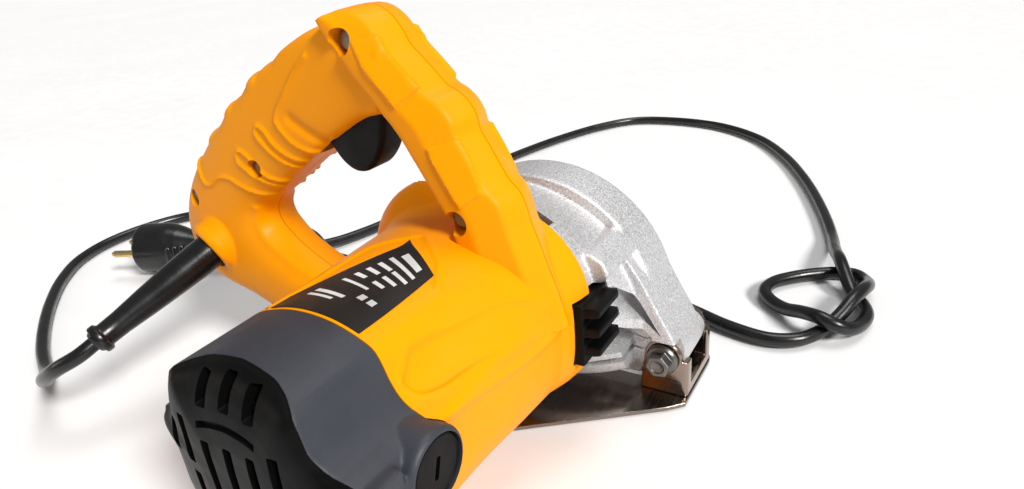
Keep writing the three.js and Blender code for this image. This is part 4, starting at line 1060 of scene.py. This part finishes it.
# Each block: start and end along the label, then across it, from 0 to 1.
LABEL_BLOCKS = [
    (0.86, 0.93, 0.30, 0.78), (0.78, 0.82, 0.22, 0.84), (0.69, 0.73, 0.22, 0.5), (0.69, 0.73, 0.55, 0.84),
    (0.60, 0.64, 0.22, 0.46), (0.60, 0.64, 0.55, 0.78), (0.51, 0.55, 0.22, 0.40), (0.51, 0.55, 0.55, 0.72),
    (0.42, 0.45, 0.22, 0.62), (0.30, 0.36, 0.66, 0.74), (0.24, 0.27, 0.18, 0.56), (0.18, 0.21, 0.18, 0.5),
    (0.30, 0.36, 0.78, 0.86),
]


def barrel_top(x, y):
    """Height of the barrel's outside above a place in plan."""
    radius = housing_radius(y)
    dx, dz = radius * np.cos(ANGLES), radius * np.sin(ANGLES)
    upper = ANGLES < math.pi
    order = np.argsort(dx[upper])
    return MOTOR[2] + np.interp(x - MOTOR[0], dx[upper][order], dz[upper][order])


def add_label():
    along, across = 110, 64
    a, b, c, d = (np.array(p, float) for p in LABEL_CORNERS)
    top = []
    for i in range(along + 1):
        u = i / along
        for j in range(across + 1):
            v = j / across
            x, y = (1 - v) * ((1 - u) * a + u * b) + v * ((1 - u) * d + u * c)
            at_corner = u > 0.9 and v < 0.12
            curl = 2.6 * max(0.0, (u - 0.9) / 0.1 + (0.12 - v) / 0.12 - 1) ** 2 if at_corner else 0.0
            top.append((x, max(y, HOUSING_REAR_Y + 0.8), barrel_top(x, y) + 0.32 + 0.5 * curl))
    top = np.array(top)
    below = top - np.array((0, 0, 0.16))
    wide, count = across + 1, len(top)
    faces, kinds = [], []
    for i in range(along):
        for j in range(across):
            q = (i * wide + j, i * wide + j + 1, (i + 1) * wide + j + 1, (i + 1) * wide + j)
            u, v = (i + 0.5) / along, (j + 0.5) / across
            pale = any(u0 < u < u1 and v0 < v < v1 for u0, u1, v0, v1 in LABEL_BLOCKS)
            faces += [q, tuple(count + k for k in reversed(q))]
            kinds += [1 if pale else 0, 0]
    rim = [i * wide for i in range(along)] + [along * wide + j for j in range(across)]
    rim += [i * wide + across for i in range(along, 0, -1)] + [j for j in range(across, 0, -1)]
    for p, q in zip(rim, rim[1:] + rim[:1]):
        faces.append((p, q, count + q, count + p))
        kinds.append(0)
    data = mesh_data("rating_label_film", (np.vstack([top, below]), faces), MM)
    label = bpy.data.objects.new("rating_label_film", data)
    bpy.context.scene.collection.objects.link(label)
    for material in (LABEL, PRINT):
        data.materials.append(material)
    for polygon, kind in zip(data.polygons, kinds):
        polygon.material_index = kind
    data.shade_smooth()
    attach(label, "tool_body")
    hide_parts("rating_label")


LABEL = black_look("label_film", 0.016, (0.3, 0.5))
PRINT = black_look("label_print", 0.5, (0.4, 0.5))
add_label()


# ---------- casting with the blade guard ----------
GUARD_FLOOR_Z = 8.0
ARM_FACE_Y = 26.5


def guard_shape():
    """The guard, turned about the spindle: a flat face with a crisp edge, then the rim band."""
    r = GUARD_RADIUS
    profile = [(0, GUARD_BACK_Y), (r - 1.0, GUARD_BACK_Y), (r - 0.2, GUARD_BACK_Y + 0.8),
               (r, GUARD_BACK_Y + 3),
               (r, GUARD_RIM_Y - 1.2), (r - 0.8, GUARD_RIM_Y), (0, GUARD_RIM_Y)]
    return turned(profile, (SPINDLE[0], 0, SPINDLE[2]), (0, 1, 0), 160)


def body_ring(y):
    """The gear case narrows from the motor's outline to a round end just short of the guard."""
    t = ease(y, 1, 33)
    start = super_radius(49.5, 42.5, 39)
    degrees = np.degrees(ANGLES)
    slim = ease(degrees, -10, 30) * (1 - ease(degrees, 62, 100))
    end = 58.2 - 2.6 * slim
    from_motor = about(MOTOR, y, start)
    to_guard = about(SPINDLE, y, np.full(len(ANGLES), end) if np.ndim(end) == 0 else end)
    return from_motor * (1 - t) + to_guard * t


def gear_case():
    case = loft([body_ring(y) for y in np.linspace(CAST_FACE_Y, GUARD_BACK_Y + 1.5, 26)])
    floor = block((-90, -10, -60), (90, 70, 15.4))
    return cut(case, [floor])


def front_arm():
    outline = round_corners([
        (44, 76), (48.5, 72.5), (57.5, 60), (66, 44.5), (71.8, 34.5), (75.4, 26), (75, 17), (68, 11.4),
        (58, 12), (43, 13.6), (34, 16), (30, 30), (30, 60),
    ], 2.2, 4)
    return plate_y(outline, ARM_FACE_Y, GUARD_RIM_Y - 0.6, 0.8)


def arm_rib():
    """The flat rib from above the louvre up to the guard's edge."""
    outline = round_corners([(34, 62), (48, 66), (53, 70.5), (50.5, 76), (44, 79), (34, 78)], 2.0, 4)
    return plate_y(outline, 6, GUARD_BACK_Y + 2, 0.8)


def arm_pockets():
    upper = round_corners([(49.6, 62.5), (50.6, 47.6), (67.2, 34.4)], 1.4, 4)
    lower = round_corners([(49.8, 44.2), (46, 39), (41.5, 29.4), (58.8, 26.6), (63.8, 32.6)], 1.6, 4)
    foot = round_corners([(38.5, 26.4), (37.6, 22.6), (56.0, 20.8), (57.4, 23.6)], 1.2, 4)
    floor_y = GUARD_BACK_Y + 0.4
    return [plate_y(outline, 8, floor_y) for outline in (upper, lower, foot)]


def pivot_barrel():
    r = 9.2
    near = GUARD_BACK_Y
    return turned([(0, near), (r - 0.6, near), (r, near + 0.8), (r, 63.2), (r - 0.6, 64), (0, 64)],
                  (PIVOT[0], 0, PIVOT[2]), (0, 1, 0), 64)


def foot_tab():
    outline = round_corners([(33, 11.6), (41.5, 11.6), (42, 20), (33, 20)], 1.2)
    return plate_y(outline, 25, 33, 0.8)


def rear_lug():
    outline = round_corners([(-48, 68), (-62, 58), (-76, 51.5), (-79.5, 43), (-74, 36.2), (-48, 34)], 4)
    return plate_y(outline, 35, 46, 0.8)


def base_sweep():
    """The space that the base plate swings through, with a little to spare."""
    slope, reach = math.tan(math.radians(6.8)), 200
    x, z = PIVOT[0], 3.2
    return plate_y([(x - reach, -60), (x, -60), (x, z), (x - reach, z + reach * slope)], 0, 90)


def round_hole(radius, y0, y1, place, count=48):
    return turned([(0, y0), (radius, y0), (radius, y1), (0, y1)], (place[0], 0, place[2]), (0, 1, 0), count)


def add_casting():
    whole = fused([gear_case(), guard_shape(), front_arm(), arm_rib(), pivot_barrel(), foot_tab(),
                   rear_lug()], voxel(0.75, 1.1), 2)
    inner = loft([about(MOTOR, y, super_radius(45.5, 38.5, 35)) for y in (CAST_FACE_Y - 2, 9)])
    hub = [round_hole(16, -5, 14, MOTOR), round_hole(10.4, -5, 14, SPINDLE)]
    cutters = [
        round_hole(BLADE_ROOM_RADIUS, GUARD_BACK_Y + 3.3, 90, SPINDLE, 140),
        cut(inner, hub),
        block((-200, 30, -200), (200, 90, GUARD_FLOOR_Z)),
        block((-200, -5, -200), (200, CAST_FACE_Y, 200)),
        base_sweep(), *arm_pockets(),
        round_hole(13.4, -3, 11, MOTOR), round_hole(8, 10, 26, MOTOR), round_hole(19, 12, 26, SPINDLE),
        round_hole(7.4, 3, 13, SPINDLE), round_hole(25.4, 25, 40, SPINDLE, 72),
        round_hole(3.2, 20, 80, PIVOT), round_hole(3.2, 30, 55, LOCK),
        block((52, 0, 0), (95, GUARD_BACK_Y - 0.3, 31.5)),
        block((37.4, -1, 35.6), (72, 13, 67.4)),
        block((-70, 4, 40), (-44, 11, 70)),
        block((14, -2, 79), (30, 6, 110)),
    ]
    casting = cut(whole, cutters)
    make("gear_housing_casting", casting, CAST, nodes=["gear_housing"],
         smooth_angle=34)


add_casting()


# ---------- louvre -----------------------
def add_louvre():
    frame_outline = round_corners([(41.8, 38), (49.3, 38), (49.3, 65.4), (41.8, 65.4)], 1.0)
    back = plate_y(frame_outline, -11, 11.4, 0.6)
    mouth = block((40, -8.6, 41), (47.6, 9.4, 62.6))
    parts = [cut(back, [mouth])]
    for k in range(3):
        z = 42.2 + 8.6 * k
        fin = round_corners([(44.5, z), (53.6, z + 1.4), (56.2, z + 2.4), (56.2, z + 5.4), (53, z + 5.6),
                             (44.5, z + 4.2)], 0.7)
        parts.append(plate_y(fin, -10.4, 8.4, 0.5))
        tip = round_corners([(44.5, z + 0.8), (54.6, z + 2.6), (54.6, z + 4.6), (44.5, z + 3.4)], 0.6)
        parts.append(plate_y(tip, 7.6, 11.2, 0.5))
    louvre = fused(parts, voxel(0.42, 0.7), 2)
    make("side_louvre", louvre, BLACK, nodes=["side_vent"], smooth_angle=32)


add_louvre()


# ---------- base plate, bracket, pivot and trigger ----------
def plate_z(outline, z0, z1, bevel=0.0):
    points, faces = plate_y(outline, z0, z1, bevel)
    return points[:, [0, 2, 1]], faces


def arc_points(centre, radius, start, end, count):
    angles = np.radians(np.linspace(start, end, count))
    return [(centre[0] + radius * math.cos(a), centre[1] + radius * math.sin(a)) for a in angles]


def add_base_plate():
    low, high = box_mm("base_plate")
    r = 12
    outline = [
        *arc_points((high[0] - r, high[1] - r), r, 0, 90, 10),
        *arc_points((low[0] + r, high[1] - r), r, 90, 180, 10),
        *arc_points((low[0] + r, low[1] + r), r, 180, 270, 10),
        (-12, low[1]), (high[0] - 6, 22), (high[0], 28),
    ]
    dense = []
    for a, b in zip(outline, outline[1:] + outline[:1]):
        steps = max(1, int(math.dist(a, b) / 6))
        dense += [tuple(np.array(a) + (np.array(b) - np.array(a)) * k / steps) for k in range(steps)]
    plate = plate_z(np.array(dense), low[2] + 0.02, high[2], 0.45)
    slot = round_corners([(-62, 39.5), (62, 39.5), (62, 56.5), (-62, 56.5)], 3)
    plate = cut(plate, [plate_z(slot, -5, 8)])
    make("base_plate_sheet", plate, PLATE_STEEL, body="base", nodes=["base_plate"],
         bevel=0.3, smooth_angle=30)


def add_bracket():
    low, high = box_mm("front_bracket")
    foot, front = low[2], high[0]
    ear = [*arc_points((PIVOT[0], PIVOT[2]), 8.6, 10, 168, 22), (PIVOT[0] - 10.6, foot), (front - 1.6, foot)]
    sides = [plate_y(ear, y0, y0 + 2, 0.3) for y0 in (low[1], high[1] - 2)]
    wrap = round_corners([(front - 6.5, low[1]), (front, low[1]), (front, high[1]),
                          (front - 6.5, high[1])], 2.4, 6)
    inner = round_corners([(front - 8, low[1] + 2), (front - 2, low[1] + 2), (front - 2, high[1] - 2),
                           (front - 8, high[1] - 2)], 1.4, 6)
    web = cut(plate_z(wrap, foot, 20), [plate_z(inner, foot + 2.2, 26)])
    slope = [(front - 9, 6.8), (front + 1, 6.8), (front + 1, 30), (front - 9, 30)]
    web = cut(web, [plate_y(slope, low[1] + 6, high[1] - 6)])
    bracket = fused([*sides, web], voxel(0.42, 0.6), 1)
    bracket = cut(bracket, [round_hole(3.3, 20, 80, PIVOT), block((0, 0, -20), (100, 90, foot))])
    make("front_bracket_folded", bracket, BROWN_STEEL, body="base", nodes=["front_bracket"],
         smooth_angle=32)


def hexagon(radius, place, turn=0.0, corner=0.6):
    points = [(place[0] + radius * math.cos(a), place[2] + radius * math.sin(a))
              for a in np.radians(np.arange(6) * 60 + turn)]
    return round_corners(points, corner, 3)


def add_pivot_bolt():
    low, high = box_mm("pivot_bolt")
    x, z = PIVOT[0], PIVOT[2]
    head = plate_y(hexagon(5.7, PIVOT, 12), low[1], 28.6, 0.7)
    dish = turned([(0, low[1] - 2), (3.0, low[1] - 2), (3.2, low[1] + 0.6), (1.2, low[1] + 1.1),
                   (0, low[1] + 1.1)], (x, 0, z), (0, 1, 0), 36)
    head = cut(head, [dish])
    flange = turned([(0, 27.8), (6.6, 28.6), (7.3, 29.8), (7.4, 30.6), (6.9, 31.2), (0, 31.2)],
                    (x, 0, z), (0, 1, 0), 48)
    shank = turned([(0, 29), (2.9, 29), (2.9, high[1] - 0.6), (2.3, high[1]), (0, high[1])],
                   (x, 0, z), (0, 1, 0), 36)
    bolt = evaluated(joined(outward(head), outward(flange), outward(shank)),
                     ("REMESH", {"mode": "VOXEL", "voxel_size": voxel(0.22, 0.4)}))
    make("pivot_bolt_flanged", bolt, DARK_STEEL, body="base", nodes=["pivot_bolt"])


TRIGGER_SHAPE = [
    (-26.6, 151.6), (-21.4, 147.6), (-22.6, 140), (-25.4, 128.6), (-29.6, 121), (-36, 115.6), (-42.6, 114.8),
    (-48.4, 118), (-53.4, 124.4), (-58, 132.4), (-56, 138), (-44, 143.6), (-34, 149.6),
]


def add_trigger():
    outline = spline(TRIGGER_SHAPE, 90, closed=True)
    body = plate_y(outline, SEAM_Y - 7.4, SEAM_Y + 7.4, 2.4, 6)
    make("trigger_blade", body, TRIGGER_BLACK, body="trigger", nodes=["trigger"],
         smooth_angle=50)


def add_button():
    low, high = box_mm("lock_button")
    centre = ((low + high) / 2)[[0, 2]]
    back, top = low[1], high[1]
    profile = [(0, back), (6.1, back), (6.1, back + 1.5), (4.9, back + 1.7), (4.9, top - 1.2),
               (4.5, top - 0.4),
               (3.6, top), (2.6, top - 0.1), (0, top - 0.5)]
    make("lock_button_cap", turned(profile, (centre[0], 0, centre[1]), (0, 1, 0), 48), BLACK,
         body="lock_button", nodes=["lock_button"])


def brush_cap(node, side):
    low, high = box_mm(node)
    inner = min(abs(low[0] - MOTOR[0]), abs(high[0] - MOTOR[0]))
    outer = max(abs(low[0] - MOTOR[0]), abs(high[0] - MOTOR[0]))
    disc = [(0, inner), (8.4, inner), (8.4, outer - 4.4), (11.0, outer - 4.2), (11.05, outer - 0.7),
            (10.5, outer - 0.15), (9.9, outer), (9.5, outer - 0.35), (0, outer - 0.35)]
    cap = turned(disc, BRUSH_PLACE, (side, 0, 0), 72)
    slot = round_corners([(-0.95, -3.8), (0.95, -3.8), (0.95, 3.8), (-0.95, 3.8)], 0.8)
    points = np.array([(BRUSH_Y + u * 0.94 + v * 0.34, MOTOR[2] + v * 0.94 - u * 0.34) for u, v in slot])
    near = outer - 2.4
    low_ring = np.column_stack([np.full(len(points), MOTOR[0] + side * near), points])
    high_ring = low_ring + np.array((side * 6.0, 0, 0))
    cap = cut(cap, [loft([low_ring, high_ring])])
    make(node + "_disc", cap, BLACK, nodes=[node], smooth_angle=32)


PLATE_STEEL = steel_look("base_plate_steel", 0.26, (0.14, 0.3), (60, 2, 60), (1.0, 0.86, 0.76))
BROWN_STEEL = steel_look("bracket_steel", 0.34, (0.12, 0.24), (2, 60, 60), (1.0, 0.8, 0.66))
TRIGGER_BLACK = black_look("trigger_black", 0.002, (0.4, 0.55), 0.15)
add_base_plate()
add_bracket()
add_pivot_bolt()
add_trigger()
add_button()
brush_cap("brush_cap_front", 1)
brush_cap("brush_cap_rear", -1)


# ---------- the CAD pieces that stay ----------
FINISH = {
    "yellow_plastic": YELLOW, "dark_plastic": GREY_WITH_BLUE_REFLECTION, "black_plastic": BLACK, "black_rubber": RUBBER,
    "cast_aluminium": CAST, "bright_steel": STEEL, "dark_steel": DARK_STEEL, "brass": BRASS, "copper": COPPER,
}
CARBON = black_look("carbon", 0.02, (0.5, 0.7))


def dress_cad_pieces():
    for name, node in frame["nodes"].items():
        kind = node.data.materials[0].name.split(".")[0] if node.data.materials else ""
        finish = FINISH.get(kind, CARBON if "carbon" in name else None)
        if finish is None:
            print("no finish for", name, kind)
            continue
        for slot in node.material_slots:
            slot.material = finish


dress_cad_pieces()


# ---------- light, floor and the end of the script ----------
FLOOR_REACH = 9000.0
FLOOR_TOP = -0.5
WORLD_STRENGTH = 0.26


def add_stage():
    slab = block((-FLOOR_REACH, -FLOOR_REACH, -30), (FLOOR_REACH, FLOOR_REACH, FLOOR_TOP))
    floor = bpy.data.objects.new("floor", mesh_data("floor", slab, MM))
    bpy.context.scene.collection.objects.link(floor)
    look = Look("floor_white", 0.6)
    look.colour(look.noise(3, 3), [(0.3, (0.80, 0.80, 0.805)), (0.7, (0.83, 0.83, 0.835))])
    look.rough(look.noise(40, 3), 0.5, 0.65)
    floor.data.materials.append(look.material)

    def sun(name, toward, strength, spread, colour):
        data = bpy.data.lights.new(name, "SUN")
        data.energy = strength
        data.angle = math.radians(spread)
        data.color = colour
        light = bpy.data.objects.new(name, data)
        light.rotation_euler = Vector(toward).to_track_quat("Z", "Y").to_euler()
        bpy.context.scene.collection.objects.link(light)

    sun("key", (0.95, -0.3, 0.8), 3.6, 14, (1.0, 0.985, 0.96))
    sun("top", (0.1, 0.35, 1.2), 1.1, 30, (1.0, 1.0, 1.0))
    sun("left", (-0.75, -0.6, 0.35), 0.25, 20, (1.0, 0.9, 0.8))
    world = bpy.data.worlds.new("studio")
    world.use_nodes = True
    background = world.node_tree.nodes["Background"]
    background.inputs["Color"].default_value = (1, 1, 1, 1)
    background.inputs["Strength"].default_value = WORLD_STRENGTH
    bpy.context.scene.world = world
    bpy.context.scene.view_settings.view_transform = "Standard"


add_stage()
